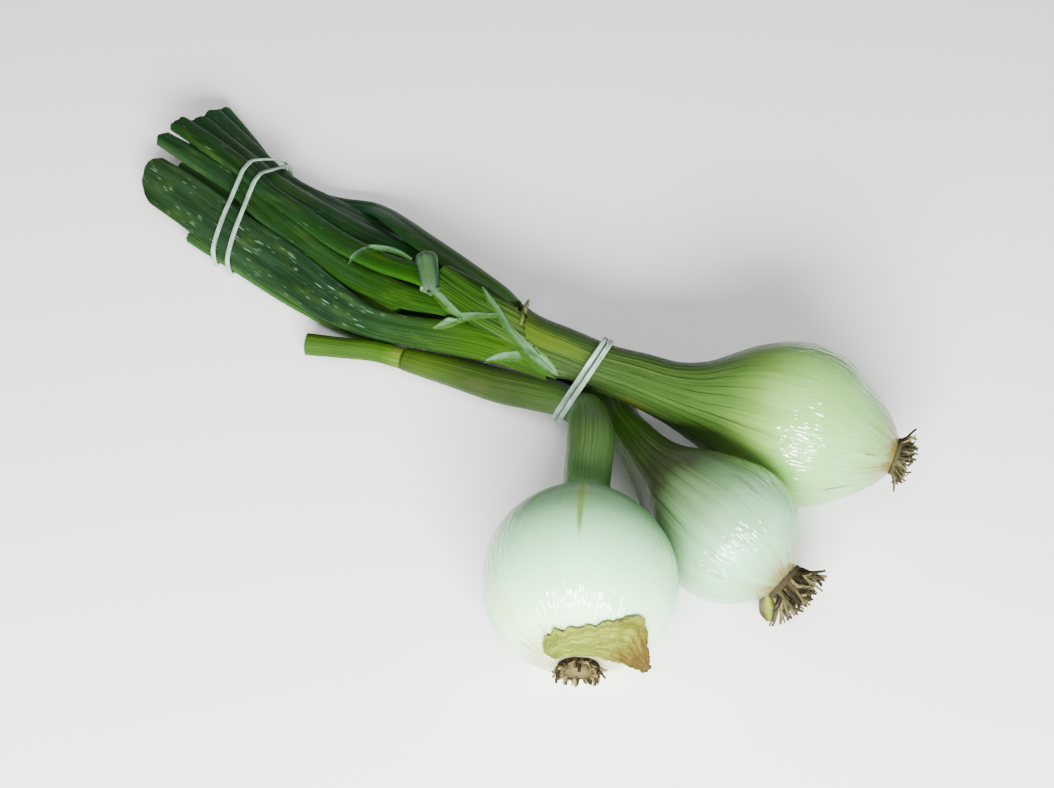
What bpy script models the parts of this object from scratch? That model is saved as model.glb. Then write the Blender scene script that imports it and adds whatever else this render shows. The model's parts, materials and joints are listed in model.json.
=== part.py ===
"""A bunch of three bulb spring onions, lying on a table and held by two rubber bands.

Blender 4.5, metres, +Z up. Run with: blender --background --python part.py
The table is the plane z = 0. The front bulb and the back bulb rest on it and hold the middle one
between them; the leaves run away to the far left, where the second band holds them.
"""
import math
import random

import bmesh
import bpy
import numpy as np
from mathutils import Vector
from mathutils.geometry import convex_hull_2d

UP = Vector((0, 0, 1))
CLEARANCE = 0.0003          # gap between neighbouring pieces
BULB_SIDES = 22             # facets round a bulb
BULB_RINGS = 27
LEAF_SIDES = 8              # facets round a leaf
LEAF_WALL = 0.0008          # wall of a hollow leaf at its cut end
HOLLOW_DEPTH = 0.004        # how far a cut end is open

# The origin is under the middle of the bunch; the onions are laid out from a point under their necks.
LAYOUT_SHIFT = Vector((0.0107, -0.0279, 0.0))

# The leaves are laid out along a straight line over the table: how far along it, how far across it
# (towards the far side) and how high.
LEAVES_START = Vector((0.000, 0.026, 0.0))
LEAVES_ALONG = Vector((-0.738, 0.674, 0.0)).normalized()
LEAVES_ACROSS = LEAVES_ALONG.cross(UP)

# An onion's line runs from the root end, through the bulb and the neck, to the mouth of its sheath.
# Its profile gives, at each distance along that line, half the width and half the height.
BACK_LINE = [
    (0.1202, -0.0306, 0.0220), (0.1062, -0.0266, 0.0244), (0.0902, -0.0216, 0.0267), (0.0740, -0.0156, 0.0271),
    (0.0580, -0.0100, 0.0268), (0.0490, -0.0060, 0.0268), (0.0380, 0.0000, 0.0268), (0.0260, 0.0060, 0.0265),
    (0.0150, 0.0130, 0.0262), (0.0060, 0.0190, 0.0257), (0.0025, 0.0220, 0.0254),
]
BACK_PROFILE = [
    (0.0000, 0.0066, 0.0066), (0.0030, 0.0110, 0.0110), (0.0079, 0.0155, 0.0155), (0.0148, 0.0208, 0.0208),
    (0.0230, 0.0256, 0.0256), (0.0317, 0.0276, 0.0275), (0.0400, 0.0267, 0.0265), (0.0488, 0.0233, 0.0232),
    (0.0576, 0.0183, 0.0182), (0.0660, 0.0140, 0.0137), (0.0758, 0.0108, 0.0104), (0.0883, 0.0094, 0.0089),
    (0.1018, 0.0086, 0.0080), (0.1148, 0.0086, 0.0078), (0.1290, 0.0090, 0.0076),
]
BACK_MOUTH_LEAN = 2.0       # the mouth of the sheath is torn slantwise: farther out on the far side
MIDDLE_LINE = [
    (0.0803, -0.0788, 0.0160), (0.0634, -0.0648, 0.0236), (0.0527, -0.0545, 0.0268), (0.0432, -0.0400, 0.0250),
    (0.0366, -0.0220, 0.0190), (0.0327, -0.0090, 0.0136), (0.0300, 0.0030, 0.0100), (0.0260, 0.0116, 0.0085),
    (0.0198, 0.0194, 0.0078), (0.0080, 0.0285, 0.0070),
]
MIDDLE_PROFILE = [
    (0.0000, 0.0064, 0.0064), (0.0020, 0.0105, 0.0105), (0.0055, 0.0152, 0.0152), (0.0115, 0.0200, 0.0200),
    (0.0190, 0.0228, 0.0228), (0.0260, 0.0230, 0.0231), (0.0330, 0.0210, 0.0211), (0.0410, 0.0172, 0.0172),
    (0.0490, 0.0130, 0.0130), (0.0580, 0.0100, 0.0100), (0.0680, 0.0082, 0.0082), (0.0800, 0.0072, 0.0072),
    (0.1000, 0.0068, 0.0068), (0.1160, 0.0070, 0.0064), (0.1480, 0.0076, 0.0060),
]
FRONT_LINE = [
    (0.0154, -0.1170, 0.0225), (0.0163, -0.0880, 0.0296), (0.0190, -0.0540, 0.0360), (0.0205, -0.0390, 0.0352),
    (0.0209, -0.0230, 0.0298), (0.0206, -0.0110, 0.0226), (0.0180, -0.0022, 0.0148), (0.0120, 0.0062, 0.0108),
    (0.0030, 0.0118, 0.0088), (-0.0094, 0.0168, 0.0075), (-0.0271, 0.0250, 0.0064), (-0.0379, 0.0295, 0.0060),
    (-0.0432, 0.0317, 0.0060),
]
FRONT_PROFILE = [
    (0.0000, 0.0070, 0.0070), (0.0015, 0.0120, 0.0120), (0.0045, 0.0180, 0.0180), (0.0100, 0.0242, 0.0242),
    (0.0180, 0.0288, 0.0286), (0.0280, 0.0302, 0.0300), (0.0370, 0.0288, 0.0286), (0.0450, 0.0245, 0.0243),
    (0.0510, 0.0185, 0.0182), (0.0555, 0.0118, 0.0118), (0.0595, 0.0081, 0.0081), (0.0680, 0.0073, 0.0072),
    (0.0850, 0.0072, 0.0070), (0.1050, 0.0069, 0.0067), (0.1250, 0.0069, 0.0066), (0.1450, 0.0064, 0.0062),
    (0.1620, 0.0061, 0.0060), (0.1820, 0.0052, 0.0052), (0.1952, 0.0042, 0.0042),
]
STALK_LINE = [(-0.0442, 0.0320, 0.0058), (-0.0532, 0.0357, 0.0056), (-0.0669, 0.0383, 0.0052), (-0.0790, 0.0406, 0.0048)]
STALK_PROFILE = [(0.0, 0.0038, 0.0038), (0.012, 0.0037, 0.0037), (0.025, 0.0038, 0.0038), (0.0375, 0.0041, 0.0040)]
NECK_FADE = 0.030           # length over which a slanted end comes to its lean

# Under the second band the leaves stand a little off the table: by how much, where and over what length.
BAND_LIFT = 0.0020
BAND_LIFT_AT = 0.134
BAND_LIFT_REACH = 0.030
BAND_LIFT_WAY = UP - 0.74 * LEAVES_ACROSS

# Each leaf: along, across, height, width, thickness and roll in degrees (above 0 lifts its far edge).
LEAVES = {
    "leaf_wide": [
        (-0.0125, -0.0068, 0.0206, 0.0070, 0.0030, 58), (0.003, -0.0086, 0.0202, 0.0108, 0.0032, 52),
        (0.017, -0.0118, 0.0180, 0.0125, 0.0034, 46), (0.035, -0.0182, 0.0146, 0.0112, 0.0036, 38),
        (0.054, -0.0236, 0.0112, 0.0112, 0.0036, 34), (0.075, -0.0245, 0.0097, 0.0150, 0.0032, 31),
        (0.098, -0.0232, 0.0091, 0.0175, 0.0030, 29), (0.127, -0.0226, 0.0085, 0.0182, 0.0028, 26),
        (0.152, -0.0208, 0.0080, 0.0188, 0.0028, 24), (0.184, -0.0200, 0.0070, 0.0184, 0.0026, 18),
    ],
    "leaf_bright": [
        (0.034, -0.0072, 0.0205, 0.0070, 0.0030, 24), (0.050, -0.0114, 0.0182, 0.0095, 0.0034, 22),
        (0.062, -0.0120, 0.0162, 0.0104, 0.0034, 20), (0.074, -0.0120, 0.0140, 0.0106, 0.0034, 17),
        (0.102, -0.0110, 0.0122, 0.0106, 0.0030, 13), (0.127, -0.0078, 0.0124, 0.0102, 0.0028, 8),
        (0.141, -0.0052, 0.0127, 0.0100, 0.0028, 5), (0.166, -0.0046, 0.0122, 0.0096, 0.0034, 2),
        (0.191, -0.0050, 0.0120, 0.0078, 0.0036, 0),
    ],
    "leaf_inner": [
        (0.034, 0.0000, 0.0212, 0.0080, 0.0028, 0), (0.048, -0.0006, 0.0212, 0.0100, 0.0032, -2),
        (0.067, -0.0042, 0.0194, 0.0104, 0.0034, -4), (0.088, -0.0052, 0.0175, 0.0100, 0.0032, -6),
        (0.113, -0.0034, 0.0166, 0.0085, 0.0030, -4), (0.132, -0.0020, 0.0157, 0.0078, 0.0028, -2),
        (0.147, 0.0008, 0.0154, 0.0084, 0.0030, -2), (0.170, 0.0024, 0.0153, 0.0090, 0.0034, 0),
        (0.191, 0.0038, 0.0142, 0.0090, 0.0038, 0),
    ],
    "leaf_dark": [
        (0.036, 0.0070, 0.0160, 0.0075, 0.0028, -14), (0.053, 0.0094, 0.0148, 0.0100, 0.0030, -14),
        (0.069, 0.0098, 0.0140, 0.0112, 0.0032, -14), (0.084, 0.0074, 0.0138, 0.0116, 0.0032, -14),
        (0.104, 0.0060, 0.0130, 0.0114, 0.0030, -14), (0.127, 0.0058, 0.0121, 0.0108, 0.0028, -14),
        (0.140, 0.0062, 0.0118, 0.0106, 0.0028, -13), (0.154, 0.0082, 0.0112, 0.0106, 0.0030, -12),
        (0.175, 0.0106, 0.0108, 0.0104, 0.0034, -10), (0.190, 0.0128, 0.0106, 0.0100, 0.0036, -8),
    ],
    "leaf_shaded": [
        (0.032, 0.0090, 0.0120, 0.0080, 0.0025, -30), (0.046, 0.0130, 0.0106, 0.0095, 0.0027, -30),
        (0.061, 0.0160, 0.0092, 0.0104, 0.0027, -30), (0.080, 0.0160, 0.0090, 0.0104, 0.0027, -28),
        (0.098, 0.0142, 0.0088, 0.0104, 0.0025, -26), (0.118, 0.0136, 0.0080, 0.0100, 0.0024, -20),
        (0.131, 0.0136, 0.0075, 0.0096, 0.0024, -18), (0.142, 0.0138, 0.0075, 0.0094, 0.0024, -18),
        (0.158, 0.0160, 0.0076, 0.0094, 0.0026, -14), (0.193, 0.0222, 0.0076, 0.0088, 0.0034, -8),
    ],
    "leaf_ridge": [
        (0.0130, 0.0066, 0.0248, 0.0080, 0.0032, -18), (0.022, 0.0088, 0.0234, 0.0100, 0.0034, -16),
        (0.035, 0.0110, 0.0214, 0.0112, 0.0034, -14), (0.050, 0.0140, 0.0186, 0.0114, 0.0034, -13),
        (0.071, 0.0180, 0.0148, 0.0114, 0.0034, -14), (0.086, 0.0220, 0.0112, 0.0108, 0.0032, -16),
        (0.096, 0.0248, 0.0080, 0.0098, 0.0029, -16), (0.104, 0.0254, 0.0056, 0.0092, 0.0026, -12),
        (0.115, 0.0200, 0.0043, 0.0086, 0.0024, -6), (0.131, 0.0143, 0.0043, 0.0082, 0.0024, -4),
        (0.147, 0.0143, 0.0043, 0.0082, 0.0024, -4), (0.165, 0.0198, 0.0041, 0.0090, 0.0030, -4),
        (0.195, 0.0284, 0.0040, 0.0092, 0.0034, -4),
    ],
    "leaf_tucked": [
        (0.050, -0.0136, 0.0138, 0.0070, 0.0028, 18), (0.065, -0.0120, 0.0102, 0.0090, 0.0030, 12),
        (0.090, -0.0100, 0.0082, 0.0100, 0.0028, 6), (0.130, -0.0090, 0.0084, 0.0098, 0.0026, 4),
        (0.175, -0.0080, 0.0082, 0.0100, 0.0030, 4),
    ],
    "leaf_low": [
        (0.046, -0.0208, 0.0056, 0.0066, 0.0026, 20), (0.060, -0.0240, 0.0040, 0.0080, 0.0026, 14),
        (0.086, -0.0268, 0.0026, 0.0084, 0.0026, 8), (0.120, -0.0276, 0.0020, 0.0084, 0.0026, 4),
        (0.146, -0.0282, 0.0020, 0.0084, 0.0028, 3),
    ],
    "leaf_under_near": [
        (0.019, 0.0004, 0.0070, 0.0080, 0.0030, 20), (0.038, -0.0062, 0.0056, 0.0105, 0.0032, 12),
        (0.065, -0.0130, 0.0036, 0.0120, 0.0032, 4), (0.100, -0.0164, 0.0022, 0.0122, 0.0032, 0),
        (0.130, -0.0170, 0.0018, 0.0120, 0.0030, 0), (0.165, -0.0160, 0.0018, 0.0122, 0.0034, 0),
    ],
    "leaf_under_middle": [
        (0.016, 0.0060, 0.0038, 0.0090, 0.0032, 0), (0.040, 0.0050, 0.0026, 0.0115, 0.0032, 0),
        (0.075, -0.0004, 0.0015, 0.0120, 0.0034, 0), (0.095, -0.0022, 0.0015, 0.0120, 0.0032, 0),
        (0.130, -0.0046, 0.0018, 0.0118, 0.0030, 0), (0.158, -0.0040, 0.0016, 0.0120, 0.0032, 0),
        (0.178, -0.0030, 0.0012, 0.0122, 0.0034, 0),
    ],
    "leaf_under_far": [
        (0.016, 0.0132, 0.0066, 0.0080, 0.0032, -20), (0.038, 0.0166, 0.0044, 0.0105, 0.0032, -10),
        (0.070, 0.0145, 0.0022, 0.0118, 0.0032, -2), (0.100, 0.0100, 0.0018, 0.0118, 0.0030, 0),
        (0.130, 0.0076, 0.0018, 0.0116, 0.0030, 0), (0.160, 0.0094, 0.0017, 0.0117, 0.0032, 0),
        (0.184, 0.0110, 0.0013, 0.0118, 0.0034, 0),
    ],
    "leaf_core": [
        (0.016, 0.0068, 0.0106, 0.0080, 0.0028, 0), (0.040, 0.0030, 0.0100, 0.0096, 0.0030, -2),
        (0.075, 0.0026, 0.0090, 0.0104, 0.0030, -4), (0.105, 0.0024, 0.0086, 0.0102, 0.0028, -4),
        (0.130, 0.0026, 0.0084, 0.0098, 0.0028, -4), (0.184, 0.0070, 0.0070, 0.0104, 0.0032, -4),
    ],
    "leaf_heart": [
        (0.060, -0.0030, 0.0060, 0.0090, 0.0024, 0), (0.085, -0.0050, 0.0050, 0.0106, 0.0024, 0),
        (0.130, -0.0050, 0.0049, 0.0108, 0.0024, 0), (0.172, -0.0010, 0.0049, 0.0108, 0.0026, 0),
    ],
}
LEAF_RINGS = 14
SHEATH_LEAN = 1.8           # the sheath begins as slantwise as the mouth ends
LEANING = {"leaf_wide": (1.8, 0.7)}

# The upper sheath lies on the others, and its torn end folds back over it.
SHEATH_ROWS = [
    (-0.0060, -0.0026, 0.0282, 0.0108, 0.0034, 10), (0.006, -0.0032, 0.0282, 0.0140, 0.0036, 12),
    (0.018, -0.0034, 0.0276, 0.0156, 0.0036, 13), (0.030, -0.0026, 0.0266, 0.0150, 0.0036, 12),
    (0.043, -0.0012, 0.0256, 0.0128, 0.0032, 8),
]
FOLD_PATH = [
    (0.0400, 0.0010, 0.0262), (0.0425, 0.0022, 0.0290), (0.0430, -0.0020, 0.0304), (0.0425, -0.0070, 0.0296),
    (0.0412, -0.0108, 0.0268), (0.0400, -0.0122, 0.0236),
]
FOLD_WIDTH = 0.0070
FOLD_THICKNESS = 0.0012

# A root tuft: the onion it belongs to, the base's radius, and its stubs' number, length and spread.
ROOTS = {
    "roots_back": (BACK_LINE, 0.0060, 26, 0.0078, 58, 11),
    "roots_middle": (MIDDLE_LINE, 0.0064, 30, 0.0100, 54, 23),
    "roots_front": (FRONT_LINE, 0.0062, 22, 0.0062, 74, 37),
}
ROOT_BASE = 0.0020
ROOT_RADIUS = 0.00085
ROOT_TIP = 0.00042
ROOT_SIDES = 5

# The dry skin of the front bulb, seen along its axis: angle round it from the top, the lower and the
# upper edge as angles off the axis, and how far each stands off the bulb.
SKIN_ROWS = [
    (-56, 16, 23, 0.0000, 0.0002), (-42, 15, 30, 0.0000, 0.0004), (-26, 15, 34, 0.0000, 0.0008),
    (-6, 15, 35, 0.0001, 0.0005), (14, 16, 38, 0.0003, 0.0010), (31, 18, 42, 0.0007, 0.0006),
    (46, 22, 45, 0.0013, 0.0009), (59, 26, 45, 0.0022, 0.0012), (72, 29, 42, 0.0030, 0.0018),
    (84, 30, 40, 0.0036, 0.0026), (95, 30, 38, 0.0040, 0.0034), (103, 31, 36, 0.0044, 0.0042),
]
SKIN_CENTRE = Vector((0.0163, -0.0880, 0.0296))
SKIN_RADIUS = 0.0312
SKIN_THICKNESS = 0.0009
SKIN_CRUMPLE = 0.0005

# The bands: a point of each one's plane and the direction square to it, which way round its turns
# cross and how suddenly, how far apart they lie elsewhere, and how far the band's middle stands off
# what it holds.
BAND_WIDTH = 0.0018
BAND_THICKNESS = 0.0009
BAND_STEP = 0.0024
NECK_BAND = (Vector((0.0218, 0.0069, 0.0262)), Vector((-0.830, 0.410, 0.374)), (0.3, -1.0), 2, 0.00105, 0.00115)
LEAF_BAND = (Vector((-0.1043, 0.1132, 0.0090)), Vector((-0.893, 0.362, -0.266)), (1.0, -0.1), 6, 0.0036, 0.00110)


def through(rows, count):
    """Rows sampled evenly along a smooth curve through the given rows; length is that of x, y, z."""
    rows = np.array(rows, float)
    steps = np.linalg.norm(np.diff(rows[:, :3], axis=0), axis=1)
    at = np.concatenate([[0.0], np.cumsum(steps)])
    slopes = np.gradient(rows, at, axis=0)
    dense_at = np.linspace(0, at[-1], 12 * len(rows))
    span = np.clip(np.searchsorted(at, dense_at, side="right") - 1, 0, len(rows) - 2)
    width = (at[span + 1] - at[span])[:, None]
    t = ((dense_at - at[span]) / width[:, 0])[:, None]
    dense = (
        (2 * t**3 - 3 * t**2 + 1) * rows[span] + (t**3 - 2 * t**2 + t) * width * slopes[span]
        + (3 * t**2 - 2 * t**3) * rows[span + 1] + (t**3 - t**2) * width * slopes[span + 1]
    )
    along = np.concatenate([[0.0], np.cumsum(np.linalg.norm(np.diff(dense[:, :3], axis=0), axis=1))])
    even = np.linspace(0, along[-1], count)
    return np.stack([np.interp(even, along, column) for column in dense.T], axis=1)


def headings(points):
    """The direction of travel at each point of a line."""
    ways = np.gradient(np.array(points, float), axis=0)
    return [Vector(way).normalized() for way in ways]


def oval(centre, heading, half_width, half_height, roll, sides):
    """One ring of points round a line: an oval square to the heading, turned by roll."""
    side = heading.cross(UP).normalized()
    above = side.cross(heading)
    across = side * math.cos(roll) + above * math.sin(roll)
    upward = above * math.cos(roll) - side * math.sin(roll)
    turns = [2 * math.pi * i / sides for i in range(sides)]
    return [centre + across * half_width * math.cos(a) + upward * half_height * math.sin(a) for a in turns]


def loft(rings, closed=False):
    """A closed mesh through rings of points: flat caps at its ends, or the last ring joined to the first."""
    mesh = bmesh.new()
    rows = [[mesh.verts.new(point) for point in ring] for ring in rings]
    pairs = list(zip(rows, rows[1:])) + ([(rows[-1], rows[0])] if closed else [])
    for lower, upper in pairs:
        for i in range(len(lower)):
            j = (i + 1) % len(lower)
            mesh.faces.new((lower[i], lower[j], upper[j], upper[i]))
    if not closed:
        mesh.faces.new(reversed(rows[0]))
        mesh.faces.new(rows[-1])
    bmesh.ops.recalc_face_normals(mesh, faces=mesh.faces)
    return mesh


def lean_ring(ring, centre, heading, lean):
    """Slants a ring: its far side goes along the heading by lean times its distance across."""
    side = heading.cross(UP).normalized()
    return [point + heading * lean * (point - centre).dot(side) for point in ring]


def rest_on_table(mesh):
    """Cuts away what reaches under the table, so that the piece has a small flat spot to rest on."""
    if min(vertex.co.z for vertex in mesh.verts) >= 0:
        return
    everything = mesh.verts[:] + mesh.edges[:] + mesh.faces[:]
    cut = bmesh.ops.bisect_plane(mesh, geom=everything, plane_co=(0, 0, 0), plane_no=UP, clear_inner=True)
    edges = [item for item in cut["geom_cut"] if isinstance(item, bmesh.types.BMEdge)]
    bmesh.ops.edgenet_fill(mesh, edges=edges)
    bmesh.ops.recalc_face_normals(mesh, faces=mesh.faces)


def make_object(name, mesh, material, bunch):
    """Turns a bmesh into a named, smooth-shaded object of the bunch."""
    rest_on_table(mesh)
    data = bpy.data.meshes.new(name)
    mesh.to_mesh(data)
    mesh.free()
    data.shade_smooth()
    data.set_sharp_from_angle(angle=math.radians(50))
    data.materials.append(material)
    piece = bpy.data.objects.new(name, data)
    bpy.data.collections[bunch.name].objects.link(piece)
    piece.parent = bunch
    return piece


def make_material(name, colour, roughness):
    """A Principled BSDF of one colour; nothing in the bunch is metal."""
    material = bpy.data.materials.new(name)
    material.use_nodes = True
    shader = material.node_tree.nodes["Principled BSDF"]
    shader.inputs["Base Color"].default_value = (*colour, 1.0)
    shader.inputs["Roughness"].default_value = roughness
    shader.inputs["Metallic"].default_value = 0.0
    return material


def swollen_rings(line, profile, count, sides, mouth_lean=0.0):
    """Rings of a bulb, a neck or a stalk: its line's places with its profile's half sizes."""
    places = through(line, 240)
    lengths = np.concatenate([[0.0], np.cumsum(np.linalg.norm(np.diff(places, axis=0), axis=1))])
    ways = np.array(headings(places))
    rings = []
    for distance, half_width, half_height in through(profile, count):
        distance = min(distance, lengths[-1])
        centre = Vector([np.interp(distance, lengths, column) for column in places.T])
        heading = Vector([np.interp(distance, lengths, column) for column in ways.T]).normalized()
        ring = oval(centre, heading, half_width, half_height, 0.0, sides)
        lean = mouth_lean * max(0.0, 1 - (lengths[-1] - distance) / NECK_FADE)
        rings.append(lean_ring(ring, centre, heading, lean))
    return rings


def leaf_place(along, across, height):
    """A place among the leaves, in the layout's coordinates."""
    lift = BAND_LIFT * math.exp(-((along - BAND_LIFT_AT) / BAND_LIFT_REACH) ** 2)
    return LEAVES_START + LEAVES_ALONG * along + LEAVES_ACROSS * across + UP * height + BAND_LIFT_WAY * lift


def leaf_rings(rows, count, sides, leans=(0.0, 0.0), hollow=True):
    """Rings of a flattened tube, its ends slanted by leans; its cut end is open for HOLLOW_DEPTH."""
    laid = [(*leaf_place(*row[:3]), *row[3:]) for row in rows]
    sampled = through(laid, count)
    ways = headings(sampled[:, :3])
    start, end = Vector(sampled[0][:3]), Vector(sampled[-1][:3])
    rings = []
    for row, heading in zip(sampled, ways):
        centre = Vector(row[:3])
        ring = oval(centre, heading, row[3] / 2, row[4] / 2, math.radians(row[5]), sides)
        lean = leans[0] * max(0.0, 1 - (centre - start).length / NECK_FADE)
        lean += leans[1] * max(0.0, 1 - (centre - end).length / NECK_FADE)
        rings.append(lean_ring(ring, centre, heading, lean))
    if hollow:
        tip, heading = sampled[-1], ways[-1]
        inside = (tip[3] / 2 - LEAF_WALL, tip[4] / 2 - LEAF_WALL, math.radians(tip[5]), sides)
        for centre in (end, end - heading * HOLLOW_DEPTH):
            rings.append(lean_ring(oval(centre, heading, *inside), centre, heading, leans[1]))
    return rings


def strip_mesh(path, way, width, thickness):
    """A flat strip along a path; way is the direction of its width."""
    rings = []
    for point, heading in zip(path, headings(path)):
        across = (way - heading * way.dot(heading)).normalized() * width / 2
        through_it = across.normalized().cross(heading) * thickness / 2
        centre = Vector(point)
        rings.append([centre + across + through_it, centre - across + through_it,
                      centre - across - through_it, centre + across - through_it])
    return loft(rings)


def root_pieces(line, radius, count, length, spread, seed):
    """The root end of an onion: a short base, and crooked stubs standing out of it."""
    start, after = Vector(line[0]), Vector(line[1])
    outward = (start - after).normalized()
    side = outward.cross(UP).normalized()
    above = side.cross(outward)
    rng = random.Random(seed)
    base = start + outward * CLEARANCE
    sizes = ((0.0, 1.0), (ROOT_BASE * 0.6, 0.96), (ROOT_BASE, 0.80))
    turns = [2 * math.pi * i / 14 for i in range(14)]
    pieces = [loft([
        [base + outward * depth + (side * math.cos(a) + above * math.sin(a)) * radius * share for a in turns]
        for depth, share in sizes
    ])]
    for i in range(count):
        around = i * 2.39996 + rng.uniform(-0.3, 0.3)
        out = math.sqrt((i + 0.5) / count)
        radial = side * math.cos(around) + above * math.sin(around)
        tilt = math.radians(spread) * out
        way = (outward * math.cos(tilt) + radial * math.sin(tilt)).normalized()
        place = base + outward * ROOT_BASE * 0.35 + radial * radius * 0.78 * out
        bend = Vector([rng.uniform(-1, 1) for _ in range(3)]) * 0.5 - UP * 0.25
        reach = length * rng.uniform(0.6, 1.1)
        rings = []
        for step in range(3):
            share = step / 2
            place_now = place + way * reach * share
            heading = way
            thick = ROOT_RADIUS * (1 - share) + ROOT_TIP * share
            rings.append(oval(place_now, heading, thick, thick, around, ROOT_SIDES))
            way = (way + bend * 0.5).normalized()
        pieces.append(loft(rings))
    return pieces


def skin_rings():
    """The flap of dry skin: one ring of points for each of its rows, its outer face and its inner one."""
    inward = (SKIN_CENTRE - Vector(FRONT_LINE[0])).normalized()
    side = inward.cross(UP).normalized()
    above = side.cross(inward)
    rows = through([(math.radians(a) * SKIN_RADIUS * 0.5, 0.0, 0.0, *row) for a, *row in SKIN_ROWS], 18)
    rng = random.Random(5)
    rings = []
    for turned, _, _, lower, upper, lift_lower, lift_upper in rows:
        around = turned / (SKIN_RADIUS * 0.5)
        radial = side * math.sin(around) + above * math.cos(around)
        outer, inner = [], []
        for step in range(5):
            share = step / 4
            off_axis = math.radians(lower * (1 - share) + upper * share)
            lift = lift_lower * (1 - share) + lift_upper * share + rng.uniform(0, SKIN_CRUMPLE)
            way = radial * math.sin(off_axis) - inward * math.cos(off_axis)
            outer.append(SKIN_CENTRE + way * (SKIN_RADIUS + lift + SKIN_THICKNESS))
            inner.append(SKIN_CENTRE + way * (SKIN_RADIUS + lift))
        rings.append(outer + inner[::-1])
    return rings


def plane_axes(normal):
    """The two directions of a plane: one level, towards the far side, and one upwards."""
    across = normal.cross(UP).normalized()
    return across, across.cross(normal)


def outline_of(pieces, centre, normal, reach):
    """The convex outline, in a plane, of what passes through it within a short reach on both sides."""
    across, above = plane_axes(normal)
    flat = []
    for piece in pieces:
        for offset in (-reach, 0.0, reach):
            mesh = bmesh.new()
            mesh.from_mesh(piece.data)
            everything = mesh.verts[:] + mesh.edges[:] + mesh.faces[:]
            cut = bmesh.ops.bisect_plane(mesh, geom=everything, plane_co=centre + normal * offset, plane_no=normal)
            places = [item.co - centre for item in cut["geom_cut"] if isinstance(item, bmesh.types.BMVert)]
            flat += [Vector((place.dot(across), place.dot(above))) for place in places]
            mesh.free()
    return [flat[i] for i in convex_hull_2d(flat)]


def widened(outline, offset):
    """A convex outline moved outwards by an offset, with round corners, going round one way."""
    turns = [2 * math.pi * i / 16 for i in range(16)]
    points = [point + Vector((math.cos(a), math.sin(a))) * offset for point in outline for a in turns]
    loop = [points[i] for i in convex_hull_2d(points)]
    if sum(a.x * b.y - a.y * b.x for a, b in zip(loop, loop[1:] + loop[:1])) < 0:
        loop.reverse()
    return loop


def even_loop(outline, offset, crossing, steps):
    """Places evenly round a widened outline, beginning at the one farthest towards the crossing."""
    loop = widened(outline, offset)
    toward = Vector(crossing).normalized()
    first = max(range(len(loop)), key=lambda i: loop[i].dot(toward))
    loop = loop[first:] + loop[:first + 1]
    lengths = np.concatenate([[0.0], np.cumsum([(b - a).length for a, b in zip(loop, loop[1:])])])
    steps = steps or round(lengths[-1] / BAND_STEP)
    even = np.linspace(0, lengths[-1], steps, endpoint=False)
    return np.stack([np.interp(even, lengths, [p[i] for p in loop]) for i in (0, 1)], axis=1)


def band_mesh(held, centre, normal, crossing, suddenness, spread, offset):
    """Two turns of one flat band round what it holds; they lie side by side and cross at one place."""
    across, above = plane_axes(normal)
    outlines = [outline_of(held, centre + normal * side * spread, normal, BAND_WIDTH / 2) for side in (-1, 1)]
    lower = even_loop(outlines[0], offset, crossing, None)
    upper = even_loop(outlines[1], offset, crossing, len(lower))
    rings = []
    for i in range(2 * len(lower)):
        turn = math.pi * i / len(lower)
        sideways = math.tanh(3 * math.sin(turn))
        flat = lower * (1 - sideways) / 2 + upper * (1 + sideways) / 2
        place = i % len(lower)
        way = np.roll(flat, -1, axis=0)[place] - np.roll(flat, 1, axis=0)[place]
        outward = (across * way[1] - above * way[0]).normalized()
        over = 1.3 * (BAND_THICKNESS + CLEARANCE) * max(0.0, math.cos(turn)) ** suddenness
        middle = centre + across * flat[place][0] + above * flat[place][1] + outward * over + normal * spread * sideways
        rings.append([
            middle + outward * BAND_THICKNESS * u / 2 + normal * BAND_WIDTH * v / 2
            for u, v in ((1, -0.8), (1, 0.8), (-1, 1), (-1, -1))
        ])
    return loft(rings, closed=True)


def union_of(name, pieces, material, bunch):
    """Joins overlapping closed meshes into one object with a single Boolean union."""
    helpers = bpy.data.collections.new(name + "_pieces")
    bpy.context.scene.collection.children.link(helpers)
    base = make_object(name, pieces[0], material, bunch)
    for mesh in pieces[1:]:
        data = bpy.data.meshes.new(name + "_piece")
        mesh.to_mesh(data)
        mesh.free()
        helper = bpy.data.objects.new(name + "_piece", data)
        helper.parent = bunch
        helpers.objects.link(helper)
    joined = base.modifiers.new("join", "BOOLEAN")
    joined.operation = "UNION"
    joined.solver = "EXACT"
    joined.operand_type = "COLLECTION"
    joined.collection = helpers
    bpy.context.view_layer.update()
    graph = bpy.context.evaluated_depsgraph_get()
    result = bpy.data.meshes.new_from_object(base.evaluated_get(graph))
    base.modifiers.clear()
    base.data = result
    for helper in list(helpers.objects):
        bpy.data.objects.remove(helper)
    bpy.data.collections.remove(helpers)
    return base


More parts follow.
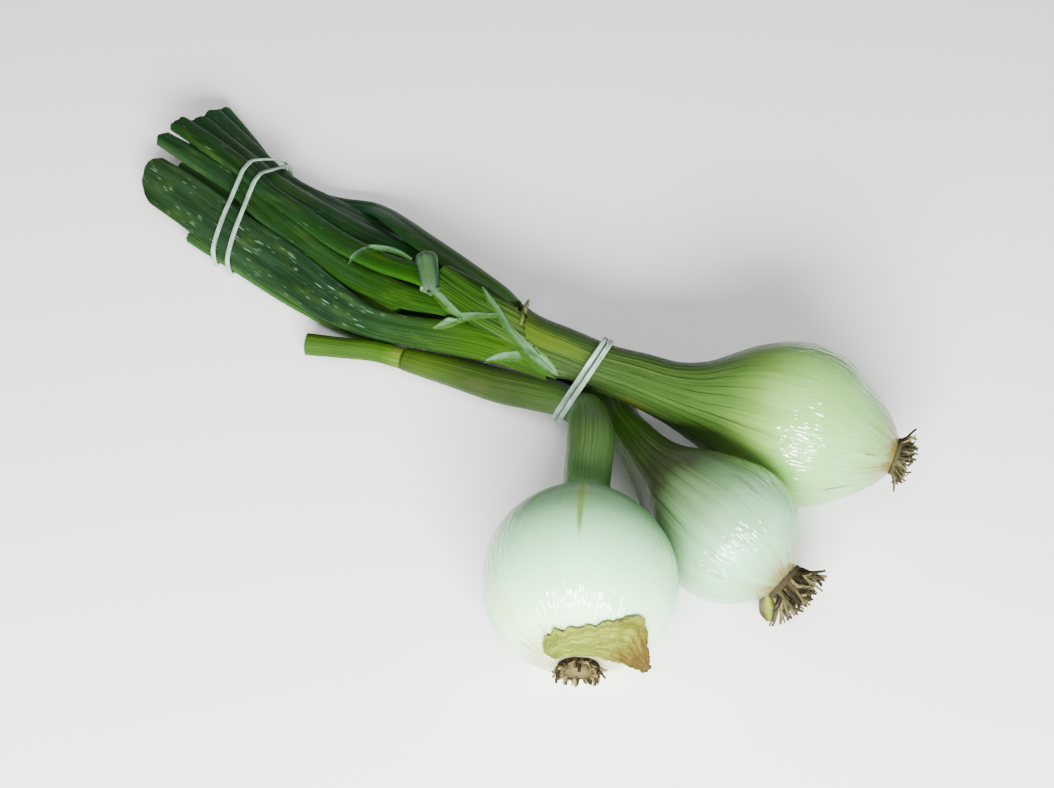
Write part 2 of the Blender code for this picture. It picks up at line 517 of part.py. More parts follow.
def main():
    for old in list(bpy.data.objects):
        bpy.data.objects.remove(old)
    collection = bpy.data.collections.new("spring_onion_bunch")
    bpy.context.scene.collection.children.link(collection)
    bunch = bpy.data.objects.new("spring_onion_bunch", None)
    bunch.location = LAYOUT_SHIFT
    collection.objects.link(bunch)
    white = make_material("onion_white", (0.62, 0.72, 0.58), 0.3)
    green = make_material("leaf_green", (0.03, 0.10, 0.03), 0.5)
    stalk = make_material("stalk_green", (0.20, 0.34, 0.06), 0.4)
    dry = make_material("dry_skin", (0.42, 0.36, 0.14), 0.6)
    root = make_material("root_brown", (0.20, 0.15, 0.08), 0.9)
    rubber = make_material("band_rubber", (0.62, 0.66, 0.60), 0.6)

    onions = [
        make_object(name, loft(swollen_rings(line, profile, BULB_RINGS, BULB_SIDES, lean)), white, bunch)
        for name, line, profile, lean in (
            ("onion_back", BACK_LINE, BACK_PROFILE, BACK_MOUTH_LEAN),
            ("onion_middle", MIDDLE_LINE, MIDDLE_PROFILE, 0.0),
            ("onion_front", FRONT_LINE, FRONT_PROFILE, 0.0),
        )
    ]
    make_object("stalk_front", loft(swollen_rings(STALK_LINE, STALK_PROFILE, 8, 12)), stalk, bunch)
    leaves = [
        make_object(name, loft(leaf_rings(rows, LEAF_RINGS, LEAF_SIDES, LEANING.get(name, (0.0, 0.0)))), green, bunch)
        for name, rows in LEAVES.items()
    ]
    sheath = loft(leaf_rings(SHEATH_ROWS, 9, LEAF_SIDES, (SHEATH_LEAN, 0.0), hollow=False))
    fold_path = through([leaf_place(*row) for row in FOLD_PATH], 11)
    fold = strip_mesh(fold_path, LEAVES_ALONG, FOLD_WIDTH, FOLD_THICKNESS)
    union_of("sheath_upper", [sheath, fold], green, bunch)
    for name, (line, radius, count, length, spread, seed) in ROOTS.items():
        union_of(name, root_pieces(line, radius, count, length, spread, seed), root, bunch)
    make_object("dry_skin_front", loft(skin_rings()), dry, bunch)
    for name, held, (centre, normal, *rest) in (("band_necks", onions, NECK_BAND), ("band_leaves", leaves, LEAF_BAND)):
        make_object(name, band_mesh(held, centre, normal.normalized(), *rest), rubber, bunch)


main()
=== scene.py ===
"""The looks of a bunch of bulb spring onions that lies on a table, held by two rubber bands.

Blender 4.5, metres, +Z up. Each piece is built from the same layout as the solid that it stands for,
only finer, and gets a finish made with shader nodes.
"""
from __future__ import annotations

import json
import logging
import math
import random
from dataclasses import dataclass
from enum import Enum
from typing import Sequence, Union

import bpy
import numpy as np
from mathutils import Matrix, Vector, noise
from mathutils.bvhtree import BVHTree
from mathutils.geometry import convex_hull_2d

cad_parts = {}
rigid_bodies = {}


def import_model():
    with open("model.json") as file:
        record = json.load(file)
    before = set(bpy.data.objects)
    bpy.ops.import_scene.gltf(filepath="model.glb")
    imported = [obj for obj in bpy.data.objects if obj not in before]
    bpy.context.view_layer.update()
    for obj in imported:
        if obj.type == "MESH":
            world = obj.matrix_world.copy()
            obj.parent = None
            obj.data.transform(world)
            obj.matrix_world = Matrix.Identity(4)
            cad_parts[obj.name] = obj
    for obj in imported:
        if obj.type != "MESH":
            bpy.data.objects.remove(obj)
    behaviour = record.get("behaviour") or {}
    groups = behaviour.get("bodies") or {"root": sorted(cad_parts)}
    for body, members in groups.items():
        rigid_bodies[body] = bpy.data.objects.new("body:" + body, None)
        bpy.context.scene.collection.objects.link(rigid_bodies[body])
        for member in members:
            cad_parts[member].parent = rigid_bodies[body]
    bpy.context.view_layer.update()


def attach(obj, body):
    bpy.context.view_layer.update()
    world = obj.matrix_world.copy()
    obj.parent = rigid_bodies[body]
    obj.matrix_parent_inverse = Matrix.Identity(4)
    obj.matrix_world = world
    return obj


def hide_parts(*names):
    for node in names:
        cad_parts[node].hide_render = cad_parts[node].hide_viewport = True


Row = tuple[float, ...]
Rows = Sequence[Row]
Stops = Sequence[tuple[float, str]]
Socket = bpy.types.NodeSocket
Input = Union[Socket, float]
Paint = Union[Socket, str, Row]
LOG = logging.getLogger("spring_onions")

UP = np.array((0.0, 0.0, 1.0))

# The gap that is left between pieces that touch, and the angle from which an edge is shaded as sharp.
CLEARANCE = 0.0003
SHARP_ANGLE = 55

# How much plant surfaces reflect, as the shader's specular level. Wax and dry fibre are rough below the
# scale of any pattern here, so all of them reflect less than their refraction alone would give.
WAXY_REFLECTION = 0.14
SILKY_REFLECTION = 0.15
DRY_REFLECTION = 0.12

# The attribute that carries each point's place on its piece to the shader.
LAY_NAME = "lay"

# The turn from one root to the next that spreads any number of them evenly over a disc.
GOLDEN_ANGLE = 2.39996

# The onions are laid out from a point under their necks; this moves them to the bunch's own origin.
LAYOUT_SHIFT = np.array((0.0107, -0.0279, 0.0))

# The leaves are laid out along a line: how far along it, how far across it and how high.
LEAVES_START = np.array((0.000, 0.026, 0.0))
LEAVES_ALONG = np.array((-0.738, 0.674, 0.0)) / math.hypot(0.738, 0.674)
LEAVES_ACROSS = np.cross(LEAVES_ALONG, UP)

# Under the leaf band the leaves stand a little off the table: by how much, where along them, over what
# length and which way.
BAND_LIFT = 0.0020
BAND_LIFT_AT = 0.134
BAND_LIFT_REACH = 0.030
BAND_LIFT_WAY = UP - 0.74 * LEAVES_ACROSS

# A slanting end fades out over the first of these lengths. A cut leaf shows its hollow to the second
# one's depth, inside a wall as thick as the third.
NECK_FADE = 0.030
HOLLOW_DEPTH = 0.004
LEAF_WALL = 0.0008

# An onion's line runs from the root end to the mouth of its sheath; its profile gives the half width
# and the half height at each distance along that line.
BACK_LINE = [
    (0.1202, -0.0306, 0.0220), (0.1062, -0.0266, 0.0244), (0.0902, -0.0216, 0.0267),
    (0.0740, -0.0156, 0.0271), (0.0580, -0.0100, 0.0268), (0.0490, -0.0060, 0.0268),
    (0.0380, 0.0000, 0.0268), (0.0260, 0.0060, 0.0265), (0.0150, 0.0130, 0.0262), (0.0060, 0.0190, 0.0257),
    (0.0025, 0.0220, 0.0254),
]
BACK_PROFILE = [
    (0.0000, 0.0066, 0.0066), (0.0030, 0.0110, 0.0110), (0.0079, 0.0155, 0.0155), (0.0148, 0.0208, 0.0208),
    (0.0230, 0.0256, 0.0256), (0.0317, 0.0276, 0.0275), (0.0400, 0.0267, 0.0265), (0.0488, 0.0233, 0.0232),
    (0.0576, 0.0183, 0.0182), (0.0660, 0.0140, 0.0137), (0.0758, 0.0108, 0.0104), (0.0883, 0.0094, 0.0089),
    (0.1018, 0.0086, 0.0080), (0.1148, 0.0086, 0.0078), (0.1290, 0.0090, 0.0076),
]
# How much the mouth of the back onion's sheath slants, and how far its lip reaches out.
BACK_MOUTH_LEAN = 2.0
BACK_MOUTH_REACH = 0.0105
MIDDLE_LINE = [
    (0.0803, -0.0788, 0.0160), (0.0634, -0.0648, 0.0236), (0.0527, -0.0545, 0.0268),
    (0.0432, -0.0400, 0.0250), (0.0366, -0.0220, 0.0190), (0.0327, -0.0090, 0.0136),
    (0.0300, 0.0030, 0.0100), (0.0260, 0.0116, 0.0085), (0.0198, 0.0194, 0.0078), (0.0080, 0.0285, 0.0070),
]
MIDDLE_PROFILE = [
    (0.0000, 0.0064, 0.0064), (0.0020, 0.0105, 0.0105), (0.0055, 0.0152, 0.0152), (0.0115, 0.0200, 0.0200),
    (0.0190, 0.0228, 0.0228), (0.0260, 0.0230, 0.0231), (0.0330, 0.0210, 0.0211), (0.0410, 0.0172, 0.0172),
    (0.0490, 0.0130, 0.0130), (0.0580, 0.0100, 0.0100), (0.0680, 0.0082, 0.0082), (0.0800, 0.0072, 0.0072),
    (0.1000, 0.0068, 0.0068), (0.1160, 0.0070, 0.0064), (0.1480, 0.0076, 0.0060),
]
FRONT_LINE = [
    (0.0154, -0.1170, 0.0225), (0.0163, -0.0880, 0.0296), (0.0190, -0.0540, 0.0360),
    (0.0205, -0.0390, 0.0352), (0.0206, -0.0230, 0.0298), (0.0198, -0.0110, 0.0226),
    (0.0166, -0.0026, 0.0148), (0.0120, 0.0062, 0.0108), (0.0030, 0.0118, 0.0088),
    (-0.0094, 0.0168, 0.0075), (-0.0271, 0.0250, 0.0064), (-0.0379, 0.0295, 0.0060),
    (-0.0432, 0.0317, 0.0060),
]
FRONT_PROFILE = [
    (0.0000, 0.0070, 0.0070), (0.0015, 0.0120, 0.0120), (0.0045, 0.0180, 0.0180), (0.0100, 0.0242, 0.0242),
    (0.0180, 0.0288, 0.0286), (0.0280, 0.0302, 0.0300), (0.0370, 0.0288, 0.0286), (0.0450, 0.0245, 0.0243),
    (0.0510, 0.0185, 0.0182), (0.0555, 0.0118, 0.0118), (0.0592, 0.0083, 0.0081), (0.0680, 0.0077, 0.0072),
    (0.0850, 0.0077, 0.0070), (0.0980, 0.0071, 0.0067), (0.1080, 0.0060, 0.0064), (0.1160, 0.0049, 0.0060),
    (0.1230, 0.0045, 0.0056), (0.1320, 0.0057, 0.0060), (0.1450, 0.0064, 0.0062), (0.1620, 0.0061, 0.0060),
    (0.1820, 0.0052, 0.0052), (0.1952, 0.0042, 0.0042),
]
STALK_LINE = [
    (-0.0442, 0.0320, 0.0058), (-0.0532, 0.0357, 0.0056), (-0.0669, 0.0383, 0.0052),
    (-0.0790, 0.0406, 0.0048),
]
STALK_PROFILE = [
    (0.0, 0.0038, 0.0038), (0.012, 0.0037, 0.0037), (0.025, 0.0038, 0.0038), (0.0375, 0.0041, 0.0040),
]

# Each leaf: along, across, height, width, thickness and roll in degrees.
LEAVES = {
    "leaf_wide": [
        (-0.0125, -0.0068, 0.0206, 0.0070, 0.0030, 58), (0.003, -0.0086, 0.0202, 0.0108, 0.0032, 52),
        (0.017, -0.0118, 0.0180, 0.0125, 0.0034, 46), (0.035, -0.0182, 0.0146, 0.0112, 0.0036, 38),
        (0.054, -0.0236, 0.0112, 0.0112, 0.0036, 34), (0.075, -0.0245, 0.0097, 0.0150, 0.0032, 31),
        (0.098, -0.0232, 0.0091, 0.0175, 0.0030, 29), (0.127, -0.0226, 0.0085, 0.0182, 0.0028, 26),
        (0.152, -0.0208, 0.0080, 0.0188, 0.0028, 24), (0.184, -0.0200, 0.0070, 0.0184, 0.0026, 18),
    ],
    "leaf_bright": [
        (0.018, -0.0040, 0.0222, 0.0050, 0.0024, 24), (0.034, -0.0076, 0.0208, 0.0070, 0.0028, 24),
        (0.050, -0.0114, 0.0182, 0.0095, 0.0034, 22), (0.062, -0.0120, 0.0162, 0.0104, 0.0034, 20),
        (0.074, -0.0120, 0.0140, 0.0106, 0.0034, 17), (0.102, -0.0110, 0.0122, 0.0106, 0.0030, 13),
        (0.127, -0.0078, 0.0124, 0.0102, 0.0028, 8), (0.141, -0.0052, 0.0127, 0.0100, 0.0028, 5),
        (0.166, -0.0046, 0.0122, 0.0096, 0.0034, 2), (0.191, -0.0050, 0.0120, 0.0078, 0.0036, 0),
    ],
    "leaf_inner": [
        (0.034, 0.0000, 0.0212, 0.0080, 0.0028, 0), (0.048, -0.0006, 0.0212, 0.0100, 0.0032, -2),
        (0.067, -0.0042, 0.0194, 0.0104, 0.0034, -4), (0.088, -0.0052, 0.0175, 0.0100, 0.0032, -6),
        (0.113, -0.0034, 0.0166, 0.0085, 0.0030, -4), (0.132, -0.0020, 0.0157, 0.0078, 0.0028, -2),
        (0.147, 0.0008, 0.0154, 0.0084, 0.0030, -2), (0.170, 0.0024, 0.0153, 0.0090, 0.0034, 0),
        (0.191, 0.0038, 0.0142, 0.0090, 0.0038, 0),
    ],
    "leaf_dark": [
        (0.036, 0.0070, 0.0160, 0.0075, 0.0028, -14), (0.053, 0.0094, 0.0148, 0.0100, 0.0030, -14),
        (0.069, 0.0098, 0.0140, 0.0112, 0.0032, -14), (0.084, 0.0074, 0.0138, 0.0116, 0.0032, -14),
        (0.104, 0.0060, 0.0130, 0.0114, 0.0030, -14), (0.127, 0.0058, 0.0121, 0.0108, 0.0028, -14),
        (0.140, 0.0062, 0.0118, 0.0106, 0.0028, -13), (0.154, 0.0082, 0.0112, 0.0106, 0.0030, -12),
        (0.175, 0.0106, 0.0108, 0.0104, 0.0034, -10), (0.190, 0.0128, 0.0106, 0.0100, 0.0036, -8),
    ],
    "leaf_shaded": [
        (0.032, 0.0090, 0.0120, 0.0080, 0.0025, -30), (0.046, 0.0130, 0.0106, 0.0095, 0.0027, -30),
        (0.061, 0.0165, 0.0090, 0.0112, 0.0027, -30), (0.080, 0.0176, 0.0084, 0.0134, 0.0027, -28),
        (0.098, 0.0170, 0.0076, 0.0156, 0.0025, -24), (0.118, 0.0150, 0.0070, 0.0126, 0.0024, -20),
        (0.131, 0.0136, 0.0075, 0.0096, 0.0024, -18), (0.142, 0.0138, 0.0075, 0.0094, 0.0024, -18),
        (0.158, 0.0160, 0.0076, 0.0094, 0.0026, -14), (0.193, 0.0222, 0.0076, 0.0088, 0.0034, -8),
    ],
    "leaf_ridge": [
        (0.0130, 0.0066, 0.0248, 0.0080, 0.0032, -18), (0.022, 0.0088, 0.0234, 0.0100, 0.0034, -16),
        (0.035, 0.0110, 0.0214, 0.0112, 0.0034, -14), (0.050, 0.0140, 0.0186, 0.0114, 0.0034, -13),
        (0.071, 0.0180, 0.0148, 0.0114, 0.0034, -14), (0.086, 0.0220, 0.0112, 0.0108, 0.0032, -16),
        (0.096, 0.0248, 0.0080, 0.0098, 0.0029, -16), (0.104, 0.0254, 0.0056, 0.0092, 0.0026, -12),
        (0.115, 0.0200, 0.0043, 0.0086, 0.0024, -6), (0.131, 0.0143, 0.0043, 0.0082, 0.0024, -4),
        (0.147, 0.0143, 0.0043, 0.0082, 0.0024, -4), (0.165, 0.0198, 0.0041, 0.0090, 0.0030, -4),
        (0.195, 0.0284, 0.0040, 0.0092, 0.0034, -4),
    ],
    "leaf_tucked": [
        (0.050, -0.0136, 0.0138, 0.0070, 0.0028, 18), (0.065, -0.0120, 0.0102, 0.0090, 0.0030, 12),
        (0.090, -0.0100, 0.0082, 0.0100, 0.0028, 6), (0.130, -0.0090, 0.0084, 0.0098, 0.0026, 4),
        (0.175, -0.0080, 0.0082, 0.0100, 0.0030, 4),
    ],
    "leaf_low": [
        (0.046, -0.0208, 0.0056, 0.0066, 0.0026, 20), (0.060, -0.0240, 0.0040, 0.0080, 0.0026, 14),
        (0.086, -0.0268, 0.0026, 0.0084, 0.0026, 8), (0.120, -0.0276, 0.0020, 0.0084, 0.0026, 4),
        (0.146, -0.0282, 0.0020, 0.0084, 0.0028, 3),
    ],
    "leaf_under_near": [
        (0.019, 0.0004, 0.0070, 0.0080, 0.0030, 20), (0.038, -0.0062, 0.0056, 0.0105, 0.0032, 12),
        (0.065, -0.0130, 0.0036, 0.0120, 0.0032, 4), (0.100, -0.0164, 0.0022, 0.0122, 0.0032, 0),
        (0.130, -0.0170, 0.0018, 0.0120, 0.0030, 0), (0.165, -0.0160, 0.0018, 0.0122, 0.0034, 0),
    ],
    "leaf_under_middle": [
        (0.016, 0.0060, 0.0038, 0.0090, 0.0032, 0), (0.040, 0.0050, 0.0026, 0.0115, 0.0032, 0),
        (0.075, -0.0004, 0.0015, 0.0120, 0.0034, 0), (0.095, -0.0022, 0.0015, 0.0120, 0.0032, 0),
        (0.130, -0.0046, 0.0018, 0.0118, 0.0030, 0), (0.158, -0.0040, 0.0016, 0.0120, 0.0032, 0),
        (0.178, -0.0030, 0.0012, 0.0122, 0.0034, 0),
    ],
    "leaf_under_far": [
        (0.016, 0.0132, 0.0066, 0.0080, 0.0032, -20), (0.038, 0.0166, 0.0044, 0.0105, 0.0032, -10),
        (0.070, 0.0145, 0.0022, 0.0118, 0.0032, -2), (0.100, 0.0100, 0.0018, 0.0118, 0.0030, 0),
        (0.130, 0.0076, 0.0018, 0.0116, 0.0030, 0), (0.160, 0.0094, 0.0017, 0.0117, 0.0032, 0),
        (0.184, 0.0110, 0.0013, 0.0118, 0.0034, 0),
    ],
    "leaf_core": [
        (0.016, 0.0068, 0.0106, 0.0080, 0.0028, 0), (0.040, 0.0030, 0.0100, 0.0096, 0.0030, -2),
        (0.075, 0.0026, 0.0090, 0.0104, 0.0030, -4), (0.105, 0.0024, 0.0086, 0.0102, 0.0028, -4),
        (0.130, 0.0026, 0.0084, 0.0098, 0.0028, -4), (0.184, 0.0070, 0.0070, 0.0104, 0.0032, -4),
    ],
    "leaf_heart": [
        (0.060, -0.0030, 0.0060, 0.0090, 0.0024, 0), (0.085, -0.0050, 0.0050, 0.0106, 0.0024, 0),
        (0.130, -0.0050, 0.0049, 0.0108, 0.0024, 0), (0.172, -0.0010, 0.0049, 0.0108, 0.0026, 0),
    ],
}
# How much the top sheath's inner end slants, and the two ends of the leaves named here.
SHEATH_LEAN = 1.8
LEANING = {"leaf_wide": (1.8, 0.7)}
SHEATH_ROWS = [
    (-0.0060, -0.0026, 0.0282, 0.0108, 0.0034, 10), (0.006, -0.0032, 0.0282, 0.0140, 0.0036, 12),
    (0.018, -0.0034, 0.0276, 0.0156, 0.0036, 13), (0.030, -0.0026, 0.0266, 0.0150, 0.0036, 12),
    (0.043, -0.0012, 0.0256, 0.0128, 0.0032, 8),
]
# The sheath's tip, folded back over it as a tongue, and the frilled edge of that: along, across, height
# and width.
FOLD_ROWS = [
    (0.0502, 0.0012, 0.0258, 0.0036, 0.0020, 0), (0.0500, 0.0010, 0.0288, 0.0066, 0.0040, 0),
    (0.0482, -0.0004, 0.0302, 0.0078, 0.0046, 0), (0.0450, -0.0030, 0.0302, 0.0076, 0.0040, 0),
    (0.0416, -0.0058, 0.0288, 0.0068, 0.0032, 0), (0.0396, -0.0075, 0.0272, 0.0060, 0.0022, 0),
    (0.0386, -0.0084, 0.0262, 0.0050, 0.0012, 0),
]
FRILL_ROWS = [
    (0.0416, -0.0102, 0.0262, 0.0014), (0.0388, -0.0088, 0.0266, 0.0026), (0.0356, -0.0068, 0.0266, 0.0014),
]

# The strips that are draped along the edges of the sheaths: places of the layout, and the strip's width.
MARGINS = {
    "margin_long": [
        (-0.0158, 0.0436, 0.0297, 0.0006), (-0.0135, 0.0380, 0.0297, 0.0018),
        (-0.0100, 0.0305, 0.0298, 0.0022), (-0.0066, 0.0232, 0.0290, 0.0024),
        (-0.0024, 0.0164, 0.0282, 0.0034), (0.0028, 0.0100, 0.0274, 0.0046),
        (0.0075, 0.0052, 0.0265, 0.0036), (0.0105, 0.0020, 0.0258, 0.0010),
    ],
    "margin_cross": [
        (-0.0330, 0.0352, 0.0175, 0.0006), (-0.0290, 0.0348, 0.0200, 0.0024),
        (-0.0236, 0.0336, 0.0240, 0.0026), (-0.0163, 0.0305, 0.0281, 0.0018),
        (-0.0094, 0.0290, 0.0297, 0.0010),
    ],
    "margin_top": [
        (-0.0350, 0.0480, 0.0262, 0.0016), (-0.0310, 0.0425, 0.0262, 0.0024),
        (-0.0270, 0.0370, 0.0258, 0.0026), (-0.0222, 0.0330, 0.0250, 0.0010),
    ],
    "margin_low": [
        (-0.0150, 0.0200, 0.0160, 0.0006), (-0.0100, 0.0195, 0.0185, 0.0022),
        (-0.0041, 0.0172, 0.0215, 0.0028), (0.0020, 0.0140, 0.0260, 0.0016),
    ],
    "margin_rim": [
        (0.0006, 0.0375, 0.0290, 0.0006), (-0.0002, 0.0335, 0.0300, 0.0012),
        (-0.0014, 0.0285, 0.0302, 0.0014), (-0.0022, 0.0240, 0.0298, 0.0008),
    ],
    "margin_arc": [
        (-0.0655, 0.0722, 0.0150, 0.0006), (-0.0625, 0.0738, 0.0185, 0.0014),
        (-0.0580, 0.0738, 0.0215, 0.0017), (-0.0524, 0.0715, 0.0235, 0.0016),
        (-0.0467, 0.0675, 0.0252, 0.0014), (-0.0415, 0.0622, 0.0262, 0.0008),
    ],
}

# A flake of dry skin that hangs beside the middle onion's roots: places, and its width.
FLAKE_PATH = [
    (0.0752, -0.0786, 0.0104, 0.0020), (0.0759, -0.0804, 0.0072, 0.0036), (0.0765, -0.0822, 0.0040, 0.0038),
    (0.0769, -0.0834, 0.0014, 0.0012),
]

# The dry skin of the front bulb, seen along its axis: angle round it from the top, its lower and its
# upper edge as angles off the axis, and how far each stands off the bulb.
SKIN_ROWS = [
    (-56, 16, 23, 0.0000, 0.0002), (-42, 15, 30, 0.0000, 0.0004), (-26, 15, 34, 0.0000, 0.0008),
    (-6, 15, 35, 0.0001, 0.0005), (14, 16, 38, 0.0003, 0.0010), (31, 18, 43, 0.0007, 0.0006),
    (46, 19, 49, 0.0013, 0.0009), (59, 22, 45, 0.0022, 0.0012), (72, 25, 40, 0.0030, 0.0018),
    (84, 28, 38, 0.0036, 0.0026), (95, 31, 38, 0.0040, 0.0034), (103, 33, 38, 0.0044, 0.0042),
]
SKIN_CENTRE = np.array((0.0163, -0.0880, 0.0296))
SKIN_RADIUS = 0.0312
SKIN_THICKNESS = 0.0009


def linear(code: str) -> tuple[float, float, float, float]:
    """Turns an sRGB hex colour into the linear colour that shaders take."""
    parts = [int(code[i:i + 2], 16) / 255 for i in (1, 3, 5)]
    return (*(c / 12.92 if c <= 0.04045 else ((c + 0.055) / 1.055) ** 2.4 for c in parts), 1.0)


def sampled(rows: Rows, count: int) -> np.ndarray:
    """Reads rows evenly along a smooth curve through them.

    Args:
        rows: rows whose first three values give the length.
        count: how many rows to return.

    Returns:
        An array of count rows.
    """
    rows = np.array(rows, float)
    at = np.concatenate([[0.0], np.cumsum(np.linalg.norm(np.diff(rows[:, :3], axis=0), axis=1))])
    slopes = np.gradient(rows, at, axis=0)
    dense_at = np.linspace(0, at[-1], 12 * len(rows))
    span = np.clip(np.searchsorted(at, dense_at, side="right") - 1, 0, len(rows) - 2)
    width = (at[span + 1] - at[span])[:, None]
    t = ((dense_at - at[span]) / width[:, 0])[:, None]
    dense = (
        (2 * t**3 - 3 * t**2 + 1) * rows[span] + (t**3 - 2 * t**2 + t) * width * slopes[span]
        + (3 * t**2 - 2 * t**3) * rows[span + 1] + (t**3 - t**2) * width * slopes[span + 1]
    )
    along = lengths_of(dense[:, :3])
    even = np.linspace(0, along[-1], count)
    return np.stack([np.interp(even, along, column) for column in dense.T], axis=1)


def lengths_of(points: np.ndarray) -> np.ndarray:
    """The distance along a line at each of its points."""
    return np.concatenate([[0.0], np.cumsum(np.linalg.norm(np.diff(points, axis=0), axis=1))])


def unit(vectors: np.ndarray) -> np.ndarray:
    """Vectors made one long."""
    return vectors / np.linalg.norm(vectors, axis=-1, keepdims=True)


def headings(points: np.ndarray) -> np.ndarray:
    """The direction of travel at each point of a line."""
    return unit(np.gradient(points, axis=0))


def smoothly(values: np.ndarray, low: float, high: float) -> np.ndarray:
    """0 up to low, 1 from high on, and a soft step between."""
    t = np.clip((values - low) / (high - low), 0, 1)
    return t * t * (3 - 2 * t)


def wander(points: np.ndarray, scale: float, seed: float) -> np.ndarray:
    """Smooth noise from -1 to 1 at each point."""
    flat = points.reshape(-1, 3) * scale + seed
    return np.array([noise.noise(Vector(p)) for p in flat]).reshape(points.shape[:-1])


@dataclass
class Skin:
    """Rings of points of one piece, and for each point its place on the piece.

    lay holds two coordinates round or across the piece and, third, the length along it in metres.
    """

    points: np.ndarray
    lay: np.ndarray
    looped: bool = False

    def faces(self) -> list[tuple[int, ...]]:
        """Quads between the rings, with a fan over each end.

        Returns:
            The numbers of each face's points.
        """
        rings, sides = self.points.shape[:2]
        i = np.arange(rings if self.looped else rings - 1)[:, None]
        j = np.arange(sides)[None, :]
        after, beside = (i + 1) % rings, (j + 1) % sides
        quads = np.stack([i * sides + j, after * sides + j, after * sides + beside, i * sides + beside], -1)
        faces = [tuple(q) for q in quads.reshape(-1, 4).tolist()]
        if not self.looped:
            first, last = rings * sides, rings * sides + 1
            for k in range(sides):
                faces.append((first, k, (k + 1) % sides))
                faces.append((last, (rings - 1) * sides + (k + 1) % sides, (rings - 1) * sides + k))
        return faces

    def flat(self, values: np.ndarray) -> np.ndarray:
        """Values of every vertex, the two end middles last.

        Args:
            values: three values for each point of each ring.

        Returns:
            An array with a row for each vertex.
        """
        rows = values.reshape(-1, 3)
        if self.looped:
            return rows
        return np.vstack([rows, values[0].mean(0), values[-1].mean(0)])


def make_piece(name: str, skins: Sequence[Skin], material: bpy.types.Material,
               stands_for: Sequence[str] = ()) -> bpy.types.Object:
    """Makes one piece from one or more skins, shaded smooth, and lets it ride with the bunch.

    Args:
        name: the piece's name.
        skins: the skins that it is made of.
        material: its finished material.
        stands_for: the solids whose place it takes.

    Returns:
        The new object.
    """
    points, lay, faces, start = [], [], [], 0
    for skin in skins:
        flat = skin.flat(skin.points)
        points.append(flat)
        lay.append(skin.flat(skin.lay))
        faces += [tuple(i + start for i in face) for face in skin.faces()]
        start += len(flat)
    places = np.vstack(points) + LAYOUT_SHIFT
    places[:, 2] = np.maximum(places[:, 2], 0.0)
    mesh = bpy.data.meshes.new(name)
    mesh.from_pydata(places.tolist(), [], faces)
    attribute = mesh.attributes.new(LAY_NAME, "FLOAT_VECTOR", "POINT")
    attribute.data.foreach_set("vector", np.vstack(lay).ravel())
    mesh.shade_smooth()
    mesh.set_sharp_from_angle(angle=math.radians(SHARP_ANGLE))
    mesh.materials.append(material)
    piece = bpy.data.objects.new(name, mesh)
    bpy.context.scene.collection.objects.link(piece)
    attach(piece, "root")
    if stands_for:
        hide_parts(*stands_for)
    LOG.info("%s: %d faces", name, len(faces))
    return piece


